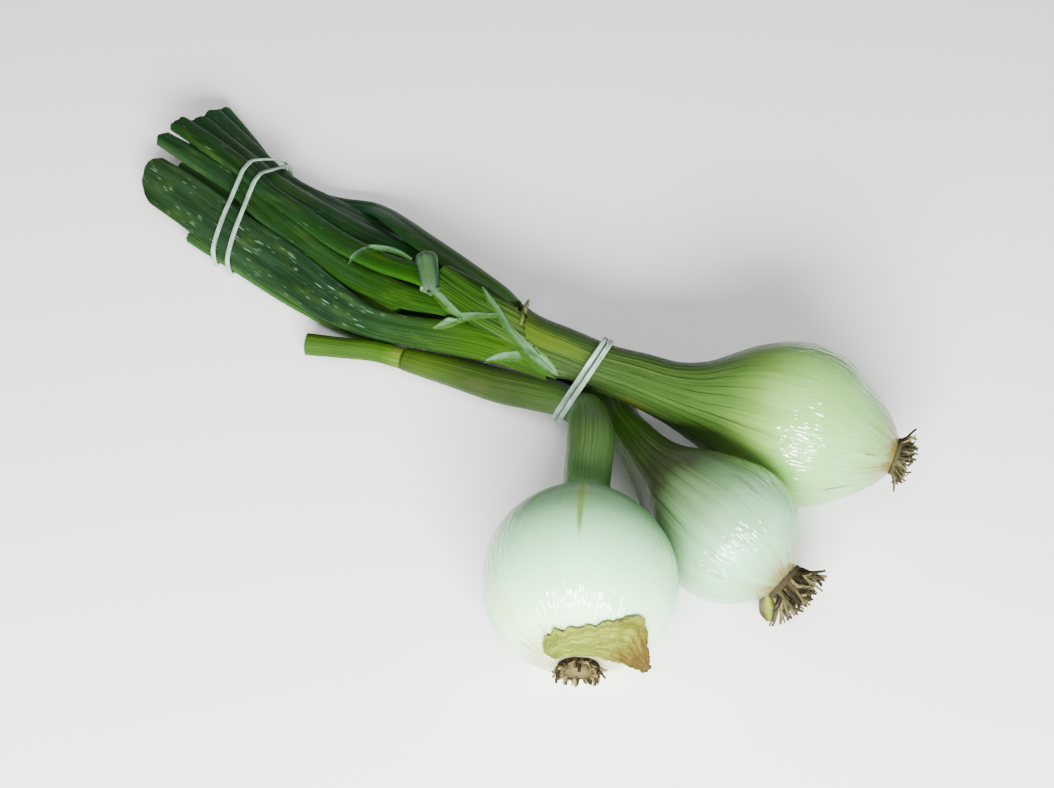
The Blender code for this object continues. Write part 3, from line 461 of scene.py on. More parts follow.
class Graph:
    """A material's nodes, with short ways to add them."""

    def __init__(self, name: str) -> None:
        """Makes a new material.

        Args:
            name: its name.
        """
        self.material = bpy.data.materials.new(name)
        self.material.use_nodes = True
        self.nodes = self.material.node_tree.nodes
        self.shader = self.nodes["Principled BSDF"]

    def add(self, kind: str, links: dict[str | int, object], **settings: object) -> bpy.types.Node:
        """Adds a node with its settings and links.

        Args:
            kind: the node's type.
            links: each input's value, or the socket that feeds it.
            settings: the values of the node's own settings.

        Returns:
            The new node.
        """
        node = self.nodes.new(kind)
        for name, value in settings.items():
            setattr(node, name, value)
        for key, value in links.items():
            self.feed(node.inputs[key], value)
        return node

    def feed(self, socket: Socket, value: object) -> None:
        """Links a socket to an input, or sets the input's value.

        Args:
            socket: the input.
            value: its value, or the socket that feeds it.
        """
        if isinstance(value, Socket):
            self.material.node_tree.links.new(value, socket)
        else:
            socket.default_value = value

    def lay(self) -> list[Socket]:
        """The three coordinates of the place on the piece."""
        place = self.add("ShaderNodeAttribute", {}, attribute_name=LAY_NAME).outputs["Vector"]
        return list(self.add("ShaderNodeSeparateXYZ", {0: place}).outputs)

    def calc(self, operation: str, a: Input, b: Input = 0.0) -> Socket:
        """One operation on one or two values."""
        return self.add("ShaderNodeMath", {0: a, 1: b}, operation=operation).outputs[0]

    def place(self, x: Input, y: Input, z: Input, scales: Row) -> Socket:
        """Three coordinates, each stretched by its scale, as one vector."""
        parts = self.add("ShaderNodeCombineXYZ", {0: x, 1: y, 2: z}).outputs[0]
        return self.add("ShaderNodeVectorMath", {0: parts, 1: scales}, operation="MULTIPLY").outputs[0]

    def noise(self, vector: Socket, detail: float = 2.0, roughness: float = 0.5,
              distortion: float = 0.0) -> Socket:
        """Noise with features about one unit long.

        Args:
            vector: the place, in units of the pattern.
            detail: how many finer layers are added.
            roughness: how strong each finer layer is.
            distortion: how much the pattern is warped.

        Returns:
            The noise, between 0 and 1.
        """
        values = {"Vector": vector, "Scale": 1.0, "Detail": detail, "Roughness": roughness}
        return self.add("ShaderNodeTexNoise", {**values, "Distortion": distortion}).outputs["Fac"]

    def step(self, value: Input, low: float, high: float) -> Socket:
        """0 up to low, 1 from high on, and a soft step between; low may be the greater."""
        ends = {"Value": value, "From Min": low, "From Max": high}
        return self.add("ShaderNodeMapRange", ends, interpolation_type="SMOOTHSTEP").outputs["Result"]

    def mix(self, factor: Input, a: Paint, b: Paint) -> Socket:
        """A colour between two.

        Args:
            factor: the second colour's share.
            a: the first colour, as a socket or a hex code.
            b: the second colour.

        Returns:
            The mixed colour.
        """
        a, b = (linear(c) if isinstance(c, str) else c for c in (a, b))
        node = self.add("ShaderNodeMix", {}, data_type="RGBA")
        for key, value in ((0, factor), (6, a), (7, b)):
            self.feed(node.inputs[key], value)
        return node.outputs[2]

    def tint(self, factor: Input, colour: Paint, by: str) -> Socket:
        """A colour multiplied by another.

        Args:
            factor: how much of the product is taken.
            colour: the colour.
            by: the hex code of the other.

        Returns:
            The tinted colour.
        """
        node = self.add("ShaderNodeMix", {}, data_type="RGBA", blend_type="MULTIPLY")
        for key, value in ((0, factor), (6, colour), (7, linear(by))):
            self.feed(node.inputs[key], value)
        return node.outputs[2]

    def ramp(self, value: Input, stops: Stops) -> Socket:
        """A colour read from stops.

        Args:
            value: where to read, from 0 to 1.
            stops: places from 0 to 1 with the colour there.

        Returns:
            The colour.
        """
        node = self.add("ShaderNodeValToRGB", {0: value})
        elements = node.color_ramp.elements
        elements[0].position = stops[0][0]
        elements[1].position = stops[-1][0]
        elements[0].color = linear(stops[0][1])
        elements[1].color = linear(stops[-1][1])
        for at, colour in stops[1:-1]:
            elements.new(at).color = linear(colour)
        return node.outputs["Color"]

    def finish(self, colour: Paint, roughness: Input, height: Socket | None = None,
               depth: float = 0.0001) -> bpy.types.Material:
        """Feeds the shader its colour, roughness and bump.

        Args:
            colour: the base colour.
            roughness: the base roughness.
            height: the relief, between 0 and 1.
            depth: how deep that relief is, in metres.

        Returns:
            The finished material.
        """
        self.feed(self.shader.inputs["Base Color"], colour)
        self.feed(self.shader.inputs["Roughness"], roughness)
        if height is not None:
            bump = self.add("ShaderNodeBump", {"Height": height, "Distance": depth})
            self.feed(self.shader.inputs["Normal"], bump.outputs[0])
        return self.material


@dataclass(frozen=True)
class Mark:
    """A long thin mark on an onion.

    It lies at an angle round the onion in degrees, between two places along it, and it has a half width.
    The radius is the onion's there.
    """

    turn: float
    start: float
    end: float
    half_width: float
    radius: float
    colour: str
    strength: float
    ragged: float = 0.3


@dataclass(frozen=True)
class OnionFinish:
    """Fresh onion skin: a moist waxy film over flesh-white layers, which turn into ribbed green sheaths.

    The film gives a broad soft highlight that the long cells under it break into streaks, and the
    light that enters the white layers comes out beside where it went in. Stops are lengths from the
    root in metres with the colour there. Patterns are scaled by features per radius round the onion and
    per metre along it. Real cells are finer than can be seen from here, so they are drawn coarser.
    """

    name: str
    length: float
    stops: Stops
    green_from: float
    fray: float
    stripe: float
    marks: tuple[Mark, ...] = ()
    roughness: float = 0.30
    veins_from: float = 0.050
    veins: int = 36
    relief: float = 0.0010
    gloss: float = 1.0
    moist_until: float = 0.049

    def material(self) -> bpy.types.Material:
        """Builds the finish's nodes.

        Returns:
            The finished material.
        """
        g = Graph(self.name)
        cosine, sine, run = g.lay()
        broad = g.noise(g.place(cosine, sine, run, (2.6, 2.6, 30)), 3)
        stripes = g.noise(g.place(cosine, sine, run, (10, 10, 9)), 2, 0.6)
        fine = g.noise(g.place(cosine, sine, run, (30, 30, 12)), 2, 0.7)
        uneven = g.calc("MULTIPLY", g.calc("SUBTRACT", stripes, 0.5), self.fray)
        drift = g.calc("MULTIPLY", g.calc("SUBTRACT", broad, 0.5), self.fray * 0.8)
        place = g.calc("ADD", g.calc("ADD", run, uneven), drift)
        colour = g.ramp(g.calc("DIVIDE", place, self.length), [(s / self.length, c) for s, c in self.stops])
        green = g.step(run, self.green_from - 0.016, self.green_from + 0.014)
        colour = self.striped(g, colour, (cosine, sine, run), green, (broad, stripes, fine))
        cloudy = g.calc("MULTIPLY", g.step(broad, 0.5, 0.72), 0.22)
        colour = g.mix(cloudy, colour, g.tint(1.0, colour, "#dfe8c0"))
        for mark in self.marks:
            colour = self.marked(g, colour, mark, (cosine, sine, run))
        colour = self.specked(g, colour, (cosine, sine, run))
        inputs = g.shader.inputs
        inputs["Subsurface Weight"].default_value = 0.18
        inputs["Subsurface Radius"].default_value = (0.8, 1.0, 0.5)
        inputs["Subsurface Scale"].default_value = 0.002
        inputs["IOR"].default_value = 1.45
        inputs["Specular IOR Level"].default_value = WAXY_REFLECTION
        cells = g.noise(g.place(cosine, sine, run, (17, 17, 230)), 1, 0.5)
        broken = g.noise(g.place(cosine, sine, run, (24, 24, 60)), 3, 0.65)
        if self.gloss:
            self.moistened(g, run, cells, broken)
        height = g.calc("ADD", g.calc("MULTIPLY", stripes, green), g.calc("MULTIPLY", fine, 0.16))
        height = g.calc("ADD", height, g.calc("MULTIPLY", cells, 0.12))
        rough = g.calc("ADD", g.calc("MULTIPLY", green, 0.10), g.calc("MULTIPLY", broken, 0.3))
        rough = g.calc("ADD", rough, self.roughness - 0.05)
        return g.finish(colour, rough, height, 0.00035)

    def moistened(self, g: Graph, run: Socket, cells: Socket, broken: Socket) -> None:
        """The moist film on the bulb, which dries off toward the neck.

        Args:
            g: the material's nodes.
            run: the length along the onion.
            cells: the pattern of the long cells under the film.
            broken: the pattern that breaks the film's highlight.
        """
        inputs = g.shader.inputs
        moist = g.step(run, self.moist_until, self.moist_until - 0.020)
        wet = g.calc("ADD", g.calc("MULTIPLY", moist, 0.92), 0.08)
        g.feed(inputs["Coat Weight"], g.calc("MULTIPLY", wet, self.gloss))
        inputs["Coat IOR"].default_value = 1.5
        g.feed(inputs["Coat Roughness"], g.calc("ADD", g.calc("MULTIPLY", broken, 0.30), -0.07))
        strength = g.calc("ADD", g.calc("MULTIPLY", moist, 0.8), 0.2)
        film = g.add("ShaderNodeBump", {"Height": cells, "Distance": self.relief, "Strength": strength})
        g.feed(inputs["Coat Normal"], film.outputs[0])

    def striped(self, g: Graph, colour: Paint, place: Sequence[Socket], green: Socket,
                patterns: Sequence[Socket]) -> Socket:
        """Light and dark veins: dark lines that run on over the shoulder, pale ones on the green part.

        Args:
            g: the material's nodes.
            colour: the colour so far.
            place: the cosine and sine of the angle round the onion, and the length along it.
            green: how far the skin has turned green.
            patterns: the broad, the striped and the fine noise.

        Returns:
            The striped colour.
        """
        cosine, sine, run = place
        broad, stripes, fine = patterns
        dark = g.calc("MULTIPLY", g.step(stripes, 0.56, 0.44), g.calc("MULTIPLY", green, self.stripe * 0.6))
        colour = g.tint(dark, colour, "#c0caa8")
        light = g.calc("MULTIPLY", g.step(stripes, 0.58, 0.70), g.calc("MULTIPLY", green, 0.22))
        colour = g.mix(light, colour, g.mix(0.5, colour, "#7a9440"))
        uneven = g.calc("ADD", run, g.calc("MULTIPLY", stripes, 0.030))
        far = g.step(uneven, self.veins_from, self.green_from + 0.022)
        angle = g.calc("ARCTAN2", sine, cosine)
        phase = g.calc("ADD", g.calc("MULTIPLY", angle, self.veins / 2), g.calc("MULTIPLY", broad, 3.5))
        wave = g.calc("ABSOLUTE", g.calc("SINE", phase))
        line = g.calc("MULTIPLY", g.step(wave, 0.34, 0.08), g.step(fine, 0.32, 0.52))
        colour = g.tint(g.calc("MULTIPLY", line, g.calc("MULTIPLY", far, self.stripe)), colour, "#4f6438")
        thin = g.step(g.calc("ABSOLUTE", g.calc("SUBTRACT", fine, 0.5)), 0.030, 0.004)
        return g.tint(g.calc("MULTIPLY", thin, g.calc("MULTIPLY", far, 0.5)), colour, "#7c8f62")

    def marked(self, g: Graph, colour: Paint, mark: Mark, place: Sequence[Socket]) -> Socket:
        """Adds one long thin mark.

        Args:
            g: the material's nodes.
            colour: the colour so far.
            mark: the mark.
            place: the cosine and sine of the angle round the onion, and the length along it.

        Returns:
            The marked colour.
        """
        cosine, sine, run = place
        angle = math.radians(mark.turn)
        turned = g.calc("MULTIPLY", cosine, math.sin(angle))
        off = g.calc("SUBTRACT", turned, g.calc("MULTIPLY", sine, math.cos(angle)))
        turned = g.calc("MULTIPLY", cosine, math.cos(angle))
        facing = g.calc("ADD", turned, g.calc("MULTIPLY", sine, math.sin(angle)))
        crooked = g.noise(g.place(cosine, sine, run, (9, 9, 400)), 3)
        crooked = g.calc("MULTIPLY", g.calc("SUBTRACT", crooked, 0.5), 2 * mark.ragged)
        across = g.calc("ADD", g.calc("MULTIPLY", off, mark.radius / mark.half_width), crooked)
        middle = (mark.start + mark.end) / 2
        reach = abs(mark.end - mark.start) / 2
        along = g.calc("DIVIDE", g.calc("SUBTRACT", run, middle), reach)
        wide = g.calc("POWER", g.calc("ABSOLUTE", across), 2.0)
        far = g.calc("ADD", wide, g.calc("POWER", g.calc("ABSOLUTE", along), 2.0))
        shown = g.calc("MULTIPLY", g.step(far, 1.0, 0.15), g.step(facing, 0.1, 0.4))
        return g.mix(g.calc("MULTIPLY", shown, mark.strength), colour, mark.colour)

    def specked(self, g: Graph, colour: Paint, place: Sequence[Socket]) -> Socket:
        """A few small dark specks of soil, and dark dashes round the root.

        Args:
            g: the material's nodes.
            colour: the colour so far.
            place: the cosine and sine of the angle round the onion, and the length along it.

        Returns:
            The specked colour.
        """
        cosine, sine, run = place
        cells = g.place(cosine, sine, run, (9, 9, 260))
        spots = g.add("ShaderNodeTexVoronoi", {"Vector": cells, "Scale": 1.0})
        chosen = g.step(g.add("ShaderNodeSeparateXYZ", {0: spots.outputs["Color"]}).outputs[0], 0.86, 0.90)
        speck = g.calc("MULTIPLY", g.step(spots.outputs["Distance"], 0.10, 0.05), chosen)
        colour = g.mix(g.calc("MULTIPLY", speck, 0.7), colour, "#56603c")
        dashes = g.noise(g.place(cosine, sine, run, (16, 16, 120)), 2)
        near = g.calc("MULTIPLY", g.step(run, 0.0075, 0.0015), g.step(dashes, 0.50, 0.62))
        return g.mix(g.calc("MULTIPLY", near, 0.85), colour, "#6b5232")


@dataclass(frozen=True)
class LeafFinish:
    """A leaf blade: parallel fibres under a waxy bloom, nicked with pale dashes where it was rubbed.

    The bloom greys and blues the green where it is whole and makes the highlight dull and wide. Stops
    are lengths from the leaf's inner end with the colour there. Fibres are drawn 0.9 mm apart and ribs
    1.1 mm. Those of a real leaf lie closer, and would vanish at this distance.
    """

    name: str
    length: float
    stops: Stops
    bloom: float = 0.22
    nicks: float = 0.0
    fibres: float = 0.36
    seed: float = 0.0
    bloom_from: float = -0.05
    rib_spacing: float = 0.0011

    def material(self) -> bpy.types.Material:
        """Builds the finish's nodes.

        Returns:
            The finished material.
        """
        g = Graph(self.name)
        across, face, run = g.lay()
        shifted = g.calc("ADD", run, self.seed)
        fibres = g.noise(g.place(across, face, shifted, (1100, 0.6, 16)), 2, 0.7)
        ribs = g.noise(g.place(across, face, shifted, (420, 0.5, 8)), 2, 0.5)
        patches = g.noise(g.place(across, face, shifted, (150, 0.8, 42)), 3, 0.6)
        place = g.calc("ADD", run, g.calc("MULTIPLY", g.calc("SUBTRACT", ribs, 0.5), 0.03))
        colour = g.ramp(g.calc("DIVIDE", place, self.length), [(s / self.length, c) for s, c in self.stops])
        colour = g.tint(g.calc("MULTIPLY", g.step(fibres, 0.55, 0.40), self.fibres), colour, "#8fa083")
        colour = g.tint(g.calc("MULTIPLY", g.step(ribs, 0.52, 0.36), self.fibres), colour, "#a0b090")
        turned = g.calc("MULTIPLY", across, math.pi / self.rib_spacing)
        phase = g.calc("ADD", turned, g.calc("MULTIPLY", ribs, 4.0))
        line = g.step(g.calc("ABSOLUTE", g.calc("SINE", phase)), 0.5, 0.08)
        colour = g.tint(g.calc("MULTIPLY", line, self.fibres * 0.8), colour, "#7c8f62")
        light = g.calc("MULTIPLY", g.step(patches, 0.50, 0.70), 0.5)
        colour = g.mix(light, colour, g.mix(0.35, colour, "#4d6a1c"))
        waxy = g.noise(g.place(across, face, shifted, (240, 1.5, 22)), 3, 0.6)
        whole = g.step(run, self.bloom_from, self.bloom_from + 0.05)
        bloom = g.calc("MULTIPLY", g.step(waxy, 0.40, 0.75), g.calc("MULTIPLY", whole, self.bloom))
        colour = g.mix(bloom, colour, "#38553f")
        if self.nicks:
            crowds = g.calc("MULTIPLY", patches, g.step(run, 0.01, 0.07))
            colour = self.nicked(g, colour, (across, face, shifted), crowds)
        inputs = g.shader.inputs
        inputs["IOR"].default_value = 1.42
        inputs["Specular IOR Level"].default_value = WAXY_REFLECTION
        inputs["Subsurface Weight"].default_value = 0.05
        inputs["Subsurface Scale"].default_value = 0.001
        rough = g.calc("ADD", g.calc("MULTIPLY", fibres, 0.2), 0.36)
        height = g.calc("ADD", g.calc("MULTIPLY", ribs, 0.8), g.calc("MULTIPLY", fibres, 0.35))
        return g.finish(colour, rough, height, 0.0004)

    def nicked(self, g: Graph, colour: Paint, place: Sequence[Socket], patches: Socket) -> Socket:
        """Pale dashes along the leaf, in loose groups.

        Args:
            g: the material's nodes.
            colour: the colour so far.
            place: the place across the leaf, its face and the length along it.
            patches: the pattern that gathers the dashes in groups.

        Returns:
            The nicked colour.
        """
        across, face, run = place
        crooked = g.calc("MULTIPLY", g.calc("SUBTRACT", patches, 0.5), 0.0012)
        across = g.calc("ADD", across, crooked)
        crowd = g.step(patches, 0.36, 0.54)
        for width, reach in ((1150, 85), (1500, 150)):
            cells = g.place(across, face, run, (width, 1.0, reach))
            spots = g.add("ShaderNodeTexVoronoi", {"Vector": cells, "Scale": 1.0})
            parts = g.add("ShaderNodeSeparateXYZ", {0: spots.outputs["Color"]}).outputs
            picked = g.step(parts[0], 1.0 - self.nicks, 1.02 - self.nicks)
            chosen = g.calc("MULTIPLY", picked, g.step(parts[1], 0.0, 1.2))
            near = g.step(spots.outputs["Distance"], 0.26, 0.08)
            dash = g.calc("MULTIPLY", near, g.calc("MULTIPLY", chosen, crowd))
            colour = g.mix(g.calc("MULTIPLY", dash, 0.72), colour, "#748f76")
        return colour


@dataclass(frozen=True)
class MembraneFinish:
    """The thin dry margin of a sheath: bleached fibres in a film, which scatter light and look silky."""

    name: str
    light: str
    dark: str
    under: str
    roughness: float = 0.42

    def material(self) -> bpy.types.Material:
        """Builds the finish's nodes.

        Returns:
            The finished material.
        """
        g = Graph(self.name)
        share, face, run = g.lay()
        fibres = g.noise(g.place(share, face, run, (7.0, 0.5, 70)), 3, 0.7)
        patches = g.noise(g.place(share, face, run, (1.2, 0.5, 300)), 3)
        colour = g.mix(g.step(fibres, 0.36, 0.62), self.dark, self.light)
        torn = g.calc("MULTIPLY", g.calc("SUBTRACT", patches, 0.5), 1.2)
        edge = g.calc("ADD", g.calc("ABSOLUTE", g.calc("ADD", share, 0.35)), torn)
        colour = g.mix(g.step(edge, 0.05, 0.95), colour, self.under)
        g.shader.inputs["Specular IOR Level"].default_value = SILKY_REFLECTION
        return g.finish(colour, self.roughness, fibres, 0.0002)


@dataclass(frozen=True)
class DrySkinFinish:
    """Dried outer skin: papery layers, bleached where they are whole and browned along torn edges."""

    name: str

    def material(self) -> bpy.types.Material:
        """Builds the finish's nodes.

        Returns:
            The finished material.
        """
        g = Graph(self.name)
        across, edge, run = g.lay()
        veins = g.noise(g.place(across, edge, run, (330, 2, 90)), 4, 0.62, 1.0)
        blots = g.noise(g.place(across, edge, run, (300, 2, 240)), 4, 0.6)
        folds = g.noise(g.place(across, edge, run, (230, 1, 45)), 2, 0.5, 1.2)
        colour = g.ramp(veins, ((0.28, "#363e0a"), (0.48, "#4e5810"), (0.70, "#727e20")))
        colour = g.mix(g.calc("MULTIPLY", g.step(folds, 0.52, 0.66), 0.6), colour, "#5a6018")
        crease = g.step(g.calc("ABSOLUTE", g.calc("SUBTRACT", folds, 0.5)), 0.035, 0.004)
        colour = g.mix(g.calc("MULTIPLY", crease, 0.45), colour, "#343312")
        aged = g.step(g.calc("ADD", run, g.calc("MULTIPLY", blots, 0.02)), 0.030, 0.046)
        colour = g.mix(g.calc("MULTIPLY", aged, 0.85), colour, "#3d2a04")
        rim = g.step(g.calc("ADD", edge, g.calc("MULTIPLY", blots, 0.5)), 1.02, 1.30)
        colour = g.mix(g.calc("MULTIPLY", rim, 0.8), colour, "#4a3510")
        browned = g.calc("ADD", g.calc("MULTIPLY", aged, 0.7), 0.22)
        brown = g.calc("MULTIPLY", g.step(blots, 0.54, 0.66), browned)
        colour = g.mix(brown, colour, "#3d2b0c")
        g.shader.inputs["Specular IOR Level"].default_value = DRY_REFLECTION
        height = g.calc("ADD", g.calc("MULTIPLY", folds, 1.5), g.calc("MULTIPLY", veins, 0.4))
        return g.finish(colour, 0.6, height, 0.0011)


@dataclass(frozen=True)
class RootFinish:
    """Cut roots, dried in air: wiry, dusty and matt, each of its own tone."""

    name: str
    tones: tuple[str, str, str]

    def material(self) -> bpy.types.Material:
        """Builds the finish's nodes.

        Returns:
            The finished material.
        """
        g = Graph(self.name)
        tone, around, run = g.lay()
        grain = g.noise(g.place(tone, around, run, (9, 2, 500)), 3, 0.6)
        colour = g.ramp(g.calc("ADD", g.calc("MULTIPLY", grain, 0.35), g.calc("MULTIPLY", tone, 0.75)),
                        ((0.1, self.tones[0]), (0.5, self.tones[1]), (0.95, self.tones[2])))
        g.shader.inputs["Specular IOR Level"].default_value = DRY_REFLECTION
        return g.finish(colour, 0.85, grain, 0.0003)


@dataclass(frozen=True)
class RubberFinish:
    """Pale stretched rubber: cut from a dipped sleeve, dusted with talc, so matt with fine pull lines."""

    name: str
    light: str = "#8ea695"
    dark: str = "#586e5f"

    def material(self) -> bpy.types.Material:
        """Builds the finish's nodes.

        Returns:
            The finished material.
        """
        g = Graph(self.name)
        across, face, run = g.lay()
        pull = g.noise(g.place(across, face, run, (2200, 1, 90)), 2, 0.6)
        blots = g.noise(g.place(across, face, run, (300, 1, 200)), 2)
        shade = g.calc("ADD", g.calc("MULTIPLY", pull, 0.6), g.calc("MULTIPLY", blots, 0.4))
        colour = g.mix(g.step(shade, 0.34, 0.62), self.dark, self.light)
        return g.finish(colour, 0.6, pull, 0.00015)


class TubeEnd(Enum):
    """How a leaf ends: whole, or cut so that it shows its hollow."""

    CLOSED = 0
    CUT = 1


@dataclass(frozen=True)
class Onion:
    """A bulb with its neck, or a bare stalk: ovals along a bent line."""

    node: str
    line: Rows
    profile: Rows
    finish: OnionFinish
    slot: str
    mouth_lean: float = 0.0
    mouth_reach: float = 0.0
    rings: int = 220
    sides: int = 96
    unevenness: float = 0.0003
    lip_turn: float = 132
    lip_breadth: float = 0.75
    lip_length: float = 0.022

    def skin(self) -> Skin:
        """Works out the onion's rings.

        Returns:
            The skin, with the cosine and sine of the angle round it and the length along it.
        """
        places = sampled(self.line, 400)
        lengths = lengths_of(places)
        ways = headings(places)
        rows = sampled(self.profile, self.rings)
        run = np.minimum(rows[:, 0], lengths[-1])
        centres = np.stack([np.interp(run, lengths, column) for column in places.T], axis=1)
        way = unit(np.stack([np.interp(run, lengths, column) for column in ways.T], axis=1))
        side = unit(np.cross(way, UP))
        above = np.cross(side, way)
        turns = np.linspace(0, 2 * math.pi, self.sides, endpoint=False)
        cosine, sine = np.cos(turns)[None, :, None], np.sin(turns)[None, :, None]
        half_width, half_height = rows[:, 1, None, None], rows[:, 2, None, None]
        lean = self.mouth_lean * np.clip(1 - (lengths[-1] - run) / NECK_FADE, 0, None)
        out = side[:, None] * cosine * half_width + above[:, None] * sine * half_height
        slant = way[:, None] * (lean[:, None, None] * cosine * half_width)
        points = centres[:, None] + out + slant
        near_mouth = smoothly(run, lengths[-1] - self.lip_length, lengths[-1])[:, None]
        facing = np.exp(-((turns[None] - math.radians(self.lip_turn)) / self.lip_breadth) ** 2)
        reach = self.mouth_reach * facing * (1 + 0.10 * wander(points, 900.0, 1.0))
        points = points + way[:, None] * (reach * near_mouth)[..., None]
        swell = wander(points, 45.0, 7.0)[..., None] * self.unevenness
        points = points + unit(out) * swell
        lay = np.broadcast_arrays(cosine[..., 0], sine[..., 0], run[:, None])
        return Skin(points, np.stack(lay, axis=-1))

    def build(self) -> Skin:
        """Makes the piece.

        Returns:
            Its skin, for the band that holds it.
        """
        skin = self.skin()
        make_piece(f"{self.node}_skin", [skin], self.finish.material(), [self.node])
        return skin


def leaf_place(rows: np.ndarray) -> np.ndarray:
    """Turns along, across and height into places of the layout.

    Args:
        rows: rows that begin with those three values.

    Returns:
        A place for each row.
    """
    along, across, height = (rows[:, i, None] for i in range(3))
    lift = BAND_LIFT * np.exp(-((along - BAND_LIFT_AT) / BAND_LIFT_REACH) ** 2)
    flat = LEAVES_START + LEAVES_ALONG * along + LEAVES_ACROSS * across
    return flat + UP * height + BAND_LIFT_WAY * lift


@dataclass(frozen=True)
class Leaf:
    """One blade: a flattened tube with a shallow channel along it, cut off at its far end."""

    node: str
    rows: Rows
    finish: LeafFinish
    slot: str = "leaf_green"
    leans: tuple[float, float] = (0.0, 0.0)
    end: TubeEnd = TubeEnd.CUT
    channel: float = 0.16
    rounded: float = 0.0
    stands_for: tuple[str, ...] | None = None
    rings: int = 110
    sides: int = 40
    raggedness: float = 0.0012
    end_length: float = 0.012

    def skin(self) -> Skin:
        """Works out the blade's rings, with those of its hollow last.

        Returns:
            The skin, with the place across it, its face and the length along it.
        """
        rows = np.array(self.rows, float)
        laid = np.hstack([leaf_place(rows), rows[:, 3:]])
        read = sampled(laid, self.rings)
        way = headings(read[:, :3])
        run = lengths_of(read[:, :3])
        points = self.rings_of(read, way, run, 0.0)
        lay = self.lay_of(read, run)
        if self.end is TubeEnd.CUT:
            last, steps = read[-1:].repeat(4, 0), np.array((0.0002, 0.0008, 0.0025, HOLLOW_DEPTH))
            last[:, :3] -= way[-1] * steps[:, None]
            inner = self.rings_of(last, way[-1:].repeat(4, 0), run[-1:].repeat(4), LEAF_WALL * 0.6)
            points = np.concatenate([points, inner])
            lay = np.concatenate([lay, self.lay_of(last, run[-1] - steps)])
        return Skin(points, lay)

    def lay_of(self, read: np.ndarray, run: np.ndarray) -> np.ndarray:
        """Each point's place on the blade.

        Args:
            read: the blade's rows, one for each ring.
            run: the length along the blade at each ring.

        Returns:
            The place across in metres, 1 on the upper face to -1 on the lower, and the length along.
        """
        turns = np.linspace(0, 2 * math.pi, self.sides, endpoint=False)[None]
        across = np.cos(turns) * read[:, 3, None] / 2
        return np.stack(np.broadcast_arrays(across, np.sin(turns), run[:, None]), axis=-1)

    def rings_of(self, read: np.ndarray, way: np.ndarray, run: np.ndarray, wall: float) -> np.ndarray:
        """Rings round the given places, drawn in by a wall.

        Args:
            read: the blade's rows, one for each ring.
            way: the blade's direction at each ring.
            run: the length along it.
            wall: how far the rings are drawn in; those of the outside have none.

        Returns:
            The points of each ring.
        """
        side = unit(np.cross(way, UP))
        above = np.cross(side, way)
        roll = np.radians(read[:, 5])[:, None]
        across = side * np.cos(roll) + above * np.sin(roll)
        upward = above * np.cos(roll) - side * np.sin(roll)
        turns = np.linspace(0, 2 * math.pi, self.sides, endpoint=False)[None]
        cosine, sine = np.cos(turns), np.sin(turns)
        half_width = read[:, 3, None] / 2 - wall
        half_height = read[:, 4, None] / 2 - wall
        dent = 1 - self.channel * np.exp(-(cosine / 0.22) ** 2) * np.sign(sine)
        x = half_width * cosine
        y = half_height * np.sign(sine) * np.abs(sine) ** 0.85 * dent
        points = read[:, None, :3] + across[:, None] * x[..., None] + upward[:, None] * y[..., None]
        off = np.einsum("rsk,rk->rs", points - read[:, None, :3], side)
        whole = lengths_of(read[:, :3])[-1] if wall == 0.0 else 1.0
        back = (whole - run) if wall == 0.0 else np.zeros(len(read))
        lean = self.leans[0] * np.clip(1 - run / NECK_FADE, 0, None)
        lean = lean + self.leans[1] * np.clip(1 - back / NECK_FADE, 0, None)
        points = points + way[:, None] * (lean[:, None] * off)[..., None]
        near_end = np.clip(1 - back / self.end_length, 0, None)[:, None]
        section = np.stack(np.broadcast_arrays(x, y * 0.3, x * 0), -1)
        ragged = self.raggedness * wander(section, 700.0, len(self.node) * 3.1)
        drawn = near_end * (ragged - self.rounded * np.abs(cosine) ** 3)
        return points + way[:, None] * drawn[..., None]

    def build(self) -> Skin:
        """Makes the piece.

        Returns:
            Its skin.
        """
        skin = self.skin()
        stands_for = [self.node] if self.stands_for is None else self.stands_for
        make_piece(f"{self.node}_blade", [skin], self.finish.material(), stands_for)
        return skin


